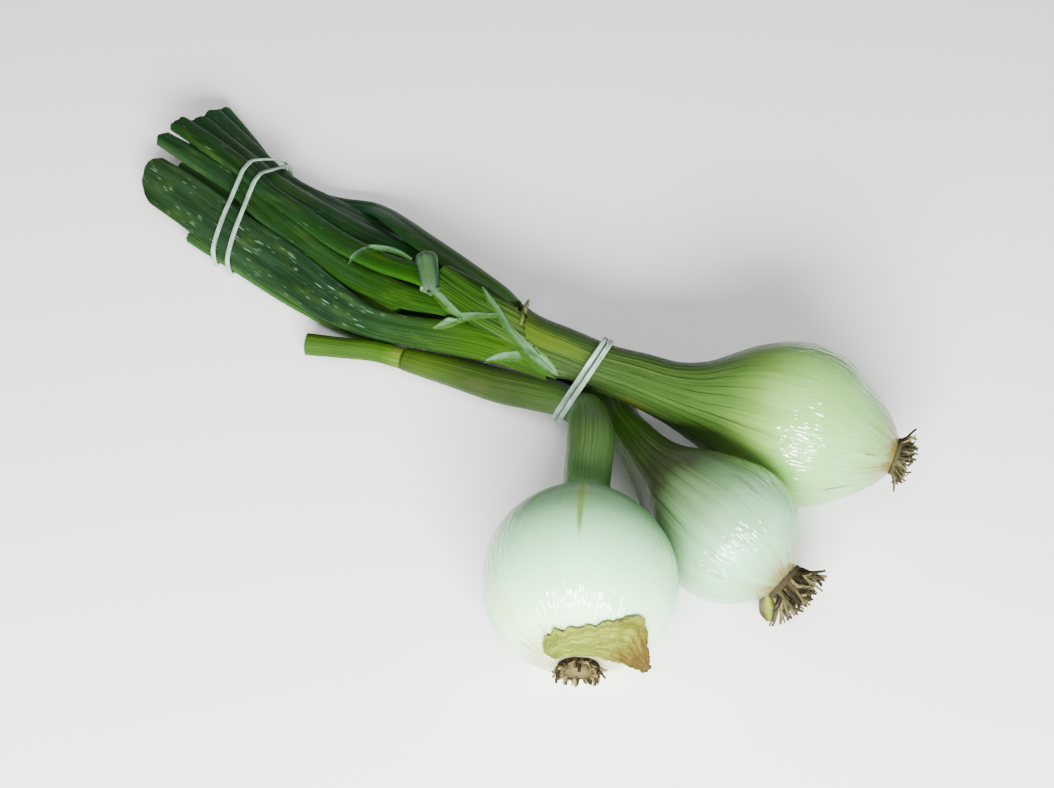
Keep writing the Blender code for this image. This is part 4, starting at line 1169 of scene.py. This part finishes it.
@dataclass(frozen=True)
class Strip:
    """A thin strip draped along a path; each row of the path gives a place and the strip's width there."""

    name: str
    path: Rows
    finish: MembraneFinish
    slot: str = "sheath_green"
    thickness: float = 0.0002
    lift: float = 0.0001
    waviness: float = 0.0001
    columns: int = 13
    breadth: float = 0.72
    reach: float = 0.004

    def build(self, ground: BVHTree) -> None:
        """Lays each place of the strip on what is under it, and makes the piece.

        Args:
            ground: what it lies on, as far as its reach.
        """
        path = sampled(self.path, 90)
        fall = np.array((0.0, 0.7071, -0.7071))
        way = headings(path[:, :3])
        across = unit(np.cross(way, -fall))
        share = np.linspace(-1, 1, self.columns)
        sheet = path[:, None, :3] + across[:, None] * (path[:, 3, None] * self.breadth * share)[..., None]
        for place in sheet.reshape(-1, 3):
            hit = ground.ray_cast(Vector(place - fall * 0.05), Vector(fall))
            if hit[0] is not None and abs((np.array(hit[0]) - place) @ fall) < self.reach:
                place[:] = hit[0]
        for _ in range(3):
            padded = np.pad(sheet, ((1, 1), (1, 1), (0, 0)), "edge")
            beside = padded[:-2, 1:-1] + padded[2:, 1:-1] + padded[1:-1, :-2] + padded[1:-1, 2:]
            sheet = (beside + 2 * sheet) / 6
        normal = unit(np.cross(np.gradient(sheet, axis=1), np.gradient(sheet, axis=0)))
        normal = normal * np.sign(normal @ -fall)[..., None]
        run = lengths_of(path[:, :3])[:, None]
        wave = self.waviness * wander(sheet, 400.0, 4.0)[..., None]
        crown = (1 - share ** 4)[None, :, None]
        upper = sheet + normal * (self.lift + wave + self.thickness * crown)
        lower = sheet - normal * self.thickness
        points = np.concatenate([upper, lower[:, ::-1]], axis=1)
        shares = np.concatenate([share, share[::-1]])[None]
        face = np.concatenate([np.ones(self.columns), -np.ones(self.columns)])[None]
        lay = np.stack(np.broadcast_arrays(shares, face, run), axis=-1)
        make_piece(self.name, [Skin(points, lay)], self.finish.material())


def rod(points: np.ndarray, radii: np.ndarray, tone: float, sides: int = 6) -> Skin:
    """A thin round rod along a path.

    Args:
        points: the path.
        radii: the rod's radius at each of its points.
        tone: the rod's own tone, from 0 to 1.
        sides: how many sides it has.

    Returns:
        The skin, with the tone, the angle round the rod and the length along it.
    """
    way = headings(points)
    side = unit(np.cross(way, np.array((0.31, 0.62, 0.72))))
    above = np.cross(side, way)
    turns = np.linspace(0, 2 * math.pi, sides, endpoint=False)
    ring = side[:, None] * np.cos(turns)[None, :, None] + above[:, None] * np.sin(turns)[None, :, None]
    lay = np.broadcast_arrays(np.full((1, 1), tone), turns[None], lengths_of(points)[:, None])
    return Skin(points[:, None] + ring * radii[:, None, None], np.stack(lay, axis=-1))


@dataclass(frozen=True)
class RootTuft:
    """The root end of an onion: a cut plate, and dried roots that stand out round it.

    A root's length and thickness are drawn between the shares given of the whole tuft's, and it thins
    to its taper's share. It bends as wildly as the tuft says, anew at each of its steps.
    """

    node: str
    line: Rows
    radius: float
    count: int
    length: float
    spread: float
    seed: int
    finish: RootFinish
    bare_middle: float = 0.0
    thickness: float = 0.0005
    plate: float = 0.0020
    droop: float = 0.10
    wildness: float = 0.36
    rewilding: float = 0.22
    stiffness: float = 0.38
    steps: int = 7
    taper: float = 0.55
    length_shares: tuple[float, float] = (0.55, 1.08)
    thickness_shares: tuple[float, float] = (0.65, 1.25)

    def build(self) -> None:
        """Makes the plate and its roots as one piece."""
        start, after = np.array(self.line[0]), np.array(self.line[1])
        outward = unit(start - after)
        side = unit(np.cross(outward, UP))
        above = np.cross(side, outward)
        rng = random.Random(self.seed)
        base = start + outward * CLEARANCE
        skins = [self.plate_skin(base, outward, side, above)]
        for i in range(self.count):
            around = i * GOLDEN_ANGLE + rng.uniform(-0.3, 0.3)
            out = self.bare_middle + (1 - self.bare_middle) * math.sqrt((i + 0.5) / self.count)
            radial = side * math.cos(around) + above * math.sin(around)
            tilt = math.radians(self.spread) * out
            way = unit(outward * math.cos(tilt) + radial * math.sin(tilt))
            place = base + outward * self.plate * 0.3 + radial * self.radius * 0.86 * out
            skins.append(self.root(rng, place, way))
        make_piece(f"{self.node}_fibres", skins, self.finish.material(), [self.node])

    def root(self, rng: random.Random, place: np.ndarray, way: np.ndarray) -> Skin:
        """One root: a thin rod that wanders and droops.

        Args:
            rng: the source of its random draws.
            place: where it starts.
            way: the direction in which it starts.

        Returns:
            Its skin, with a tone of its own.
        """
        bend = self.push(rng) * self.wildness - UP * self.droop
        reach = self.length * rng.uniform(*self.length_shares)
        points = [place]
        for _ in range(self.steps):
            place = place + way * reach / self.steps
            way = unit(way + bend * self.stiffness)
            bend = bend + self.push(rng) * self.rewilding
            points.append(place)
        thick = self.thickness * rng.uniform(*self.thickness_shares)
        swell = np.array([1 + 0.25 * rng.uniform(-1, 1) for _ in points])
        radii = thick * np.linspace(1.0, self.taper, self.steps + 1) * swell
        return rod(np.array(points), radii, rng.random())

    def push(self, rng: random.Random) -> np.ndarray:
        """A random push, from -1 to 1 along each axis."""
        return np.array([rng.uniform(-1, 1) for _ in range(3)])

    def plate_skin(self, base: np.ndarray, outward: np.ndarray, side: np.ndarray, above: np.ndarray) -> Skin:
        """The plate: a low uneven disc.

        Args:
            base: its middle on the onion.
            outward: the direction away from the onion.
            side: a direction square to that.
            above: the direction square to both.

        Returns:
            The skin, with a tone, the angle round the disc and the depth.
        """
        turns = np.linspace(0, 2 * math.pi, 48, endpoint=False)[None]
        shares = np.array((1.0, 1.02, 1.0, 0.94, 0.84, 0.6, 0.3))[:, None]
        depth = self.plate * np.array((0.0, 0.35, 0.7, 0.92, 1.0, 1.02, 1.0))[:, None]
        radial = side * np.cos(turns)[..., None] + above * np.sin(turns)[..., None]
        points = base + radial * (self.radius * shares)[..., None] + outward * depth[..., None]
        points = points + (radial * 0.6 + outward) * (0.0004 * wander(points, 900.0, self.seed))[..., None]
        lay = np.broadcast_arrays(0.30 + 0.5 * (1 - shares), turns, depth * 2)
        return Skin(points, np.stack(lay, axis=-1))


@dataclass(frozen=True)
class DrySkin:
    """The torn flap of dried skin at the front bulb's root.

    It lies about half the bulb's radius off the axis. The coarse and the fine tear are angles off the
    axis, and the coarse and the fine crumple are heights.
    """

    node: str
    rows: Rows
    finish: DrySkinFinish
    arc: float = SKIN_RADIUS * 0.5
    rings: int = 150
    columns: int = 26
    thickness: float = 0.0003
    tears: tuple[float, float] = (0.035, 0.02)
    crumples: tuple[float, float] = (0.0014, 0.0006)

    def build(self) -> None:
        """Makes the flap: a crumpled sheet whose free edges are torn."""
        inward = unit(SKIN_CENTRE - np.array(FRONT_LINE[0]))
        side = unit(np.cross(inward, UP))
        above = np.cross(side, inward)
        rows = sampled([(math.radians(a) * self.arc, 0.0, 0.0, *row) for a, *row in self.rows], self.rings)
        around = rows[:, 0] / self.arc
        radial = side * np.sin(around)[:, None] + above * np.cos(around)[:, None]
        share = np.linspace(0, 1, self.columns)[None]
        low, high = np.radians(rows[:, 3, None]), np.radians(rows[:, 4, None])
        run = (around - around[0])[:, None] * self.arc
        tear = np.stack(np.broadcast_arrays(run, run * 0, run * 0), -1)
        high = high + self.tears[0] * wander(tear, 500.0, 3.0) + self.tears[1] * wander(tear, 1700.0, 9.0)
        off_axis = low * (1 - share) + high * share
        lift = rows[:, 5, None] * (1 - share) + rows[:, 6, None] * share
        way = radial[:, None] * np.sin(off_axis)[..., None] - inward * np.cos(off_axis)[..., None]
        sheet = SKIN_CENTRE + way * (SKIN_RADIUS + lift)[..., None]
        free = 0.25 + 0.75 * smoothly(run, 0.016, 0.036)
        crumple = self.crumples[0] * wander(sheet, 220.0, 2.0) + self.crumples[1] * wander(sheet, 700.0, 5.0)
        sheet = sheet + way * (SKIN_THICKNESS * 0.5 + np.abs(crumple) * free)[..., None]
        under = sheet - way * self.thickness
        points = np.concatenate([sheet, under[:, ::-1]], axis=1)
        edge = np.broadcast_to(np.abs(share * 2 - 1), sheet.shape[:2])
        ends = smoothly(run, 0.046, 0.052)
        edge = np.maximum(edge * 0.9, np.broadcast_to(ends, edge.shape))
        edge = np.concatenate([edge, edge[:, ::-1]], axis=1)
        x = np.broadcast_to(share * 0.02, sheet.shape[:2])
        x = np.concatenate([x, x[:, ::-1]], axis=1)
        lay = np.stack(np.broadcast_arrays(x, edge, run), axis=-1)
        make_piece(f"{self.node}_flap", [Skin(points, lay)], self.finish.material(), [self.node])


@dataclass(frozen=True)
class Band:
    """One rubber band wound twice round what it holds: its turns lie side by side and cross once."""

    node: str
    centre: Row
    normal: Row
    crossing: tuple[float, float]
    suddenness: int
    spread: float
    offset: float
    finish: RubberFinish
    width: float = 0.0018
    thickness: float = 0.0009
    step: float = 0.0009
    twist: float = 0.12

    def build(self, held: list[Skin]) -> None:
        """Makes the band.

        Args:
            held: the skins that it is wound round.
        """
        centre, normal = np.array(self.centre), unit(np.array(self.normal))
        across = unit(np.cross(normal, UP))
        above = np.cross(across, normal)
        outlines = [self.outline(held, centre + normal * way * self.spread, centre, normal, across, above)
                    for way in (-1, 1)]
        lower = self.even_loop(outlines[0], None)
        upper = self.even_loop(outlines[1], len(lower))
        count = len(lower)
        turn = math.pi * np.arange(2 * count) / count
        sideways = np.tanh(3 * np.sin(turn))[:, None]
        low2, up2 = np.vstack([lower, lower]), np.vstack([upper, upper])
        flat = low2 * (1 - sideways) / 2 + up2 * (1 + sideways) / 2
        step = np.roll(flat, -1, axis=0) - np.roll(flat, 1, axis=0)
        outward = unit(across * step[:, 1, None] - above * step[:, 0, None])
        over = 1.3 * (self.thickness + CLEARANCE) * np.clip(np.cos(turn), 0, None) ** self.suddenness
        middle = centre + across * flat[:, 0, None] + above * flat[:, 1, None]
        middle = middle + outward * over[:, None] + normal * (self.spread * sideways)
        angles = np.linspace(0, 2 * math.pi, 16, endpoint=False)
        u = np.sign(np.sin(angles)) * np.abs(np.sin(angles)) ** 0.6
        v = np.sign(np.cos(angles)) * np.abs(np.cos(angles)) ** 0.45
        twist = self.twist * wander(middle, 60.0, 1.0)[:, None]
        x, y = v[None] * self.width / 2, u[None] * self.thickness / 2
        points = middle[:, None] + outward[:, None] * (y + twist * x)[..., None]
        points = points + normal * (x - twist * y)[..., None]
        run = lengths_of(middle)
        lay = np.stack(np.broadcast_arrays(x, u[None], run[:, None]), axis=-1)
        skin = Skin(points[::-1], lay[::-1], looped=True)
        make_piece(f"{self.node}_rubber", [skin], self.finish.material(), [self.node])

    def outline(self, held: list[Skin], place: np.ndarray, centre: np.ndarray, normal: np.ndarray,
                across: np.ndarray, above: np.ndarray) -> list[Vector]:
        """The convex outline of what passes through the band's plane.

        Args:
            held: the skins that the band is wound round.
            place: a point of the plane.
            centre: the point from which the outline is measured.
            normal: the direction square to the plane.
            across: a direction in the plane.
            above: the direction in the plane that is square to it.

        Returns:
            The outline's corners, measured along across and above.
        """
        flat = []
        for skin in held:
            for reach in (-self.width / 2, 0.0, self.width / 2):
                height = (skin.points - place - normal * reach) @ normal
                crossed = height[:-1] * height[1:] < 0
                share = (height[:-1] / (height[:-1] - height[1:]))[crossed][:, None]
                cut = skin.points[:-1][crossed] * (1 - share) + skin.points[1:][crossed] * share - centre
                flat += [Vector(pair) for pair in np.stack([cut @ across, cut @ above], axis=1)]
        return [flat[i] for i in convex_hull_2d(flat)]

    def even_loop(self, outline: list[Vector], steps: int | None) -> np.ndarray:
        """Places evenly round the outline, moved out, beginning towards the crossing.

        Args:
            outline: the corners.
            steps: how many places, or None for as many as the band's step gives.

        Returns:
            The places, in the outline's own two directions.
        """
        turns = [2 * math.pi * i / 32 for i in range(32)]
        grown = [p + Vector((math.cos(a), math.sin(a))) * self.offset for p in outline for a in turns]
        loop = [grown[i] for i in convex_hull_2d(grown)]
        if sum(a.x * b.y - a.y * b.x for a, b in zip(loop, loop[1:] + loop[:1])) < 0:
            loop.reverse()
        toward = Vector(self.crossing).normalized()
        first = max(range(len(loop)), key=lambda i: loop[i].dot(toward))
        loop = np.array([tuple(p) for p in loop[first:] + loop[:first + 1]])
        lengths = lengths_of(np.hstack([loop, np.zeros((len(loop), 1))]))
        even = np.linspace(0, lengths[-1], steps or round(lengths[-1] / self.step), endpoint=False)
        return np.stack([np.interp(even, lengths, loop[:, i]) for i in (0, 1)], axis=1)


@dataclass(frozen=True)
class Studio:
    """A pale floor, soft lights and the camera."""

    floor: str = "#fcfcfb"
    floor_size: float = 6.0
    floor_drop: float = 0.0002
    sky: str = "#f2f6f4"
    sky_strength: float = 0.36
    camera_height: float = 0.51497
    camera_back: float = 0.49497
    lens: float = 70.3

    def build(self) -> None:
        """Makes all that isn't part of the bunch."""
        g = Graph("studio_floor")
        g.finish(linear(self.floor), 0.6)
        bpy.ops.mesh.primitive_plane_add(size=self.floor_size, location=(0, 0, -self.floor_drop))
        floor = bpy.context.object
        floor.name = "floor"
        floor.data.materials.append(g.material)
        world = bpy.data.worlds.new("studio")
        world.use_nodes = True
        background = world.node_tree.nodes["Background"]
        background.inputs["Color"].default_value = linear(self.sky)
        background.inputs["Strength"].default_value = self.sky_strength
        bpy.context.scene.world = world
        self.light("front", (0.12, -1.00, 0.18), (0.02, -0.04, 0.02), wide=1.2, high=0.34, power=8.0)
        self.light("window", (0.02, -0.82, 0.34), (0.02, -0.06, 0.02), wide=0.52, high=0.22, power=44.0)
        self.light("top", (-0.10, -0.40, 1.15), (0.0, 0.0, 0.0), wide=1.2, high=1.0, power=10.0)
        camera = bpy.data.objects.new("camera", bpy.data.cameras.new("camera"))
        camera.data.sensor_width = 36.0
        camera.data.lens = self.lens
        camera.location = Vector(LAYOUT_SHIFT) + Vector((0, -self.camera_back, self.camera_height))
        camera.rotation_euler = (math.radians(45), 0, 0)
        bpy.context.scene.collection.objects.link(camera)
        bpy.context.scene.camera = camera

    def light(self, name: str, place: Row, target: Row, wide: float, high: float, power: float) -> None:
        """One soft rectangle of light that faces its target.

        Args:
            name: its name.
            place: where it stands.
            target: where it looks.
            wide: its width.
            high: its height.
            power: its power in watts.
        """
        data = bpy.data.lights.new(name, "AREA")
        data.shape = "RECTANGLE"
        data.size, data.size_y, data.energy = wide, high, power
        lamp = bpy.data.objects.new(name, data)
        lamp.location = place
        lamp.rotation_euler = (Vector(target) - Vector(place)).to_track_quat("-Z", "Y").to_euler()
        bpy.context.scene.collection.objects.link(lamp)


class Bunch:
    """The whole bunch, piece by piece."""

    def __init__(self) -> None:
        """Starts with no skins and nothing to lay strips on."""
        self.onions: list[Skin] = []
        self.leaves: list[Skin] = []
        self.sheaths: list[Skin] = []
        self.ground: BVHTree | None = None

    def build(self) -> None:
        """Builds every piece in the order in which they rest on each other."""
        self.grow_onions()
        self.grow_leaves()
        self.lay_margins()
        self.add_roots()
        self.tie()

    def grow_onions(self) -> None:
        """The three bulbs with their necks, and the stalk that goes on from the front one."""
        back = OnionFinish("moist_skin_of_the_back_bulb", 0.134, (
            (0.0, "#5c4f1f"), (0.005, "#5f8040"), (0.014, "#6c9d5a"), (0.032, "#6a994a"),
            (0.045, "#547430"), (0.056, "#3f5c26"), (0.070, "#35501d"), (0.095, "#2f461c"),
            (0.112, "#2d431c"), (0.134, "#2c420e"),
        ), green_from=0.062, fray=0.016, stripe=0.85, marks=(
            Mark(193, 0.078, 0.094, 0.0026, 0.009, "#43420e", 0.5, 0.6),
            Mark(118, 0.104, 0.140, 0.0040, 0.009, "#46590f", 0.6, 0.3),
            Mark(80, 0.124, 0.140, 0.0030, 0.009, "#3f3f0c", 0.5, 0.6),
            Mark(182, 0.009, 0.021, 0.0005, 0.021, "#3f3a1c", 0.9, 1.2),
            Mark(141, 0.0060, 0.0110, 0.0004, 0.016, "#3f3a1c", 0.8, 0.8),
        ))
        # The middle bulb's dark grey-green stops from 0.041 m on are partly the green of its neck and partly
        # painted shade, where it runs under the back onion's neck.
        middle = OnionFinish("moist_skin_of_the_middle_bulb", 0.148, (
            (0.0, "#6d6238"), (0.004, "#65875a"), (0.012, "#73a87e"), (0.030, "#50704a"), (0.041, "#2c361c"),
            (0.050, "#334022"), (0.058, "#34481e"), (0.075, "#2f5112"), (0.148, "#24460e"),
        ), green_from=0.048, fray=0.010, stripe=0.9, marks=(
            Mark(84, 0.019, 0.034, 0.0013, 0.023, "#4d5a46", 0.6, 0.8),
            Mark(159, 0.012, 0.018, 0.0012, 0.022, "#6f7650", 0.5, 0.8),
            Mark(40, 0.006, 0.020, 0.0040, 0.022, "#8a9a6c", 0.4, 0.5),
        ), veins_from=0.040)
        # The front bulb's stops darken from 0.020 m to 0.0572 m. This is partly the skin greening toward the
        # neck and partly painted shade on the shoulder, which turns up away from the light.
        front = OnionFinish("moist_skin_of_the_front_bulb", 0.1952, (
            (0.0, "#93905c"), (0.006, "#abd6a3"), (0.020, "#8ac795"), (0.040, "#709f73"),
            (0.052, "#668c64"), (0.0572, "#688c60"), (0.0588, "#4e7542"), (0.075, "#425d30"),
            (0.098, "#3b5c28"), (0.125, "#42612b"), (0.150, "#293d12"), (0.170, "#263a0d"),
            (0.186, "#2e4507"), (0.1952, "#243801"),
        ), green_from=0.066, fray=0.0, stripe=0.55, marks=(
            Mark(91, 0.064, 0.024, 0.0010, 0.022, "#56691f", 0.9, 0.15),
            Mark(91, 0.060, 0.034, 0.0030, 0.022, "#7d9a56", 0.6, 0.2),
            Mark(150, 0.157, 0.170, 0.0026, 0.006, "#33391a", 0.55, 0.8),
            Mark(152, 0.003, 0.024, 0.0070, 0.028, "#a3c070", 0.45, 0.3),
            Mark(35, 0.010, 0.034, 0.0050, 0.028, "#a3c284", 0.35, 0.4),
        ), roughness=0.24, relief=0.0011)
        stalk = OnionFinish("smooth_skin_of_the_stalk", 0.0375, (
            (0.0, "#365e01"), (0.008, "#284701"), (0.020, "#243f01"), (0.0375, "#284405"),
        ), green_from=-0.02, fray=0.004, stripe=0.2, roughness=0.40, veins_from=-0.03, gloss=0.0)
        for onion in (
            Onion("onion_back", BACK_LINE, BACK_PROFILE, back, "bulb_white",
                  mouth_lean=BACK_MOUTH_LEAN, mouth_reach=BACK_MOUTH_REACH),
            Onion("onion_middle", MIDDLE_LINE, MIDDLE_PROFILE, middle, "bulb_white"),
            Onion("onion_front", FRONT_LINE, FRONT_PROFILE, front, "bulb_white", rings=280),
        ):
            self.onions.append(onion.build())
        Onion("stalk_front", STALK_LINE, STALK_PROFILE, stalk, "stalk_green", rings=60, sides=40,
              unevenness=0.00015).build()

    def grow_leaves(self) -> None:
        """The blades, each with its own greens, and the sheath that lies on them."""
        deep = ((0.0, "#3a5a1c"), (0.03, "#2f4f20"), (0.07, "#28461f"), (0.2, "#223a1f"))
        greens = {
            "leaf_wide": (
                (0.0, "#243e04"), (0.025, "#264304"), (0.05, "#183105"), (0.09, "#122714"), (0.2, "#1f3519"),
            ),
            "leaf_bright": (
                (0.0, "#1d3e04"), (0.05, "#173605"), (0.08, "#153209"), (0.12, "#163212"), (0.18, "#163215"),
            ),
            "leaf_inner": (
                (0.0, "#285608"), (0.02, "#1b4502"), (0.05, "#16380b"), (0.09, "#0f2b0a"), (0.16, "#122f0e"),
            ),
            "leaf_dark": ((0.0, "#143a0e"), (0.04, "#0f340e"), (0.10, "#123a16"), (0.16, "#133a16")),
            "leaf_shaded": ((0.0, "#14360f"), (0.08, "#13351a"), (0.16, "#18381c")),
            "leaf_ridge": (
                (0.0, "#2e5a12"), (0.03, "#20460f"), (0.06, "#153a14"), (0.10, "#183c20"), (0.2, "#264a2c"),
            ),
        }
        for i, (node, rows) in enumerate(LEAVES.items()):
            wide = node == "leaf_wide"
            far = node in ("leaf_dark", "leaf_shaded", "leaf_ridge")
            finish = LeafFinish(
                f"waxy_blade_{node[5:]}", 0.2, greens.get(node, deep), bloom=0.06 if far else 0.22,
                nicks=0.55 if wide else 0.20, fibres=0.5 if wide else 0.36, seed=i * 0.37, bloom_from=0.025,
            )
            leaf = Leaf(
                node, rows, finish, leans=LEANING.get(node, (0.0, 0.0)), channel=0.0 if wide else 0.16,
                rounded=0.0075 if wide else 0.0015,
            )
            self.leaves.append(leaf.build())
        pale = LeafFinish("ribbed_sheath_of_the_top_leaf", 0.056, (
            (0.0, "#4c5e28"), (0.014, "#334c1c"), (0.030, "#284808"), (0.056, "#2d4e11"),
        ), bloom=0.05, fibres=1.0)
        sheath = Leaf("sheath_upper", SHEATH_ROWS, pale, "sheath_green", leans=(SHEATH_LEAN, 0.0),
                      end=TubeEnd.CLOSED, channel=0.05)
        self.sheaths.append(sheath.build())

    def lay_margins(self) -> None:
        """The bleached margins of the sheaths, and the tongue that folds back over the top one."""
        vertices, polygons, start = [], [], 0
        for skin in self.onions + self.leaves + self.sheaths:
            flat = skin.flat(skin.points)
            vertices += flat.tolist()
            polygons += [tuple(i + start for i in face) for face in skin.faces()]
            start += len(flat)
        self.ground = BVHTree.FromPolygons(vertices, polygons)
        silky = MembraneFinish("bleached_margin", "#587658", "#2c4f24", "#26460c")
        torn = MembraneFinish("torn_rim", "#7c7c50", "#4a5424", "#3a4c18")
        dull = MembraneFinish("worn_margin", "#4c6a4e", "#234822", "#173508")
        finishes = {"margin_rim": torn, "margin_arc": dull}
        for name, path in MARGINS.items():
            Strip(name, path, finishes.get(name, silky)).build(self.ground)
        waxy = LeafFinish("waxy_back_of_the_tongue", 0.014, (
            (0.0, "#1f3a1c"), (0.006, "#34503a"), (0.014, "#1d301f"),
        ), bloom=0.3, fibres=0.6)
        Leaf("sheath_tongue", FOLD_ROWS, waxy, "sheath_green", end=TubeEnd.CLOSED, channel=-0.12,
             stands_for=()).build()
        frill = MembraneFinish("frilled_dry_edge", "#66785c", "#3c4f36", "#2f4a2c")
        path = [(*leaf_place(np.array([row[:3]]))[0], row[3]) for row in FRILL_ROWS]
        Strip("sheath_tongue_frill", path, frill, thickness=0.0007, waviness=0.0012).build(self.ground)

    def add_roots(self) -> None:
        """The three root ends and the flap of dry skin."""
        brown = RootFinish("dried_roots", ("#100c06", "#2f2a18", "#6a6242"))
        grey = RootFinish("dusty_roots", ("#15120b", "#37341f", "#6d6848"))
        cut = RootFinish("cut_root_plate", ("#120d06", "#2b2410", "#6e6640"))
        RootTuft("roots_back", BACK_LINE, radius=0.0062, count=150, length=0.0066, spread=50, seed=11,
                 finish=grey, thickness=0.00060).build()
        RootTuft("roots_middle", MIDDLE_LINE, radius=0.0068, count=210, length=0.0104, spread=32, seed=23,
                 finish=brown, thickness=0.00066, droop=0.28).build()
        flake = MembraneFinish("dried_flake", "#76841c", "#474c10", "#2e260a")
        Strip("root_flake", FLAKE_PATH, flake, "dry_skin", thickness=0.0004,
              waviness=0.0005).build(self.ground)
        RootTuft("roots_front", FRONT_LINE, radius=0.0064, count=90, length=0.0044, spread=56, seed=37,
                 finish=cut, bare_middle=0.6, thickness=0.00062).build()
        DrySkin("dry_skin_front", SKIN_ROWS, DrySkinFinish("torn_dry_skin")).build()

    def tie(self) -> None:
        """The two rubber bands."""
        rubber = RubberFinish("talced_rubber")
        Band("band_necks", centre=(0.0218, 0.0069, 0.0262), normal=(-0.830, 0.410, 0.374),
             crossing=(0.3, -1.0), suddenness=2, spread=0.00105, offset=0.00085,
             finish=rubber).build(self.onions)
        Band("band_leaves", centre=(-0.1043, 0.1132, 0.0090), normal=(-0.893, 0.362, -0.266),
             crossing=(1.0, -0.1), suddenness=6, spread=0.0036, offset=0.00095,
             finish=rubber).build(self.leaves)


def main() -> None:
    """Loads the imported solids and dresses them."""
    logging.basicConfig(level=logging.INFO, format="%(message)s")
    for old in list(bpy.data.objects):
        bpy.data.objects.remove(old)
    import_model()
    Studio().build()
    Bunch().build()


if __name__ == "__main__":
    main()
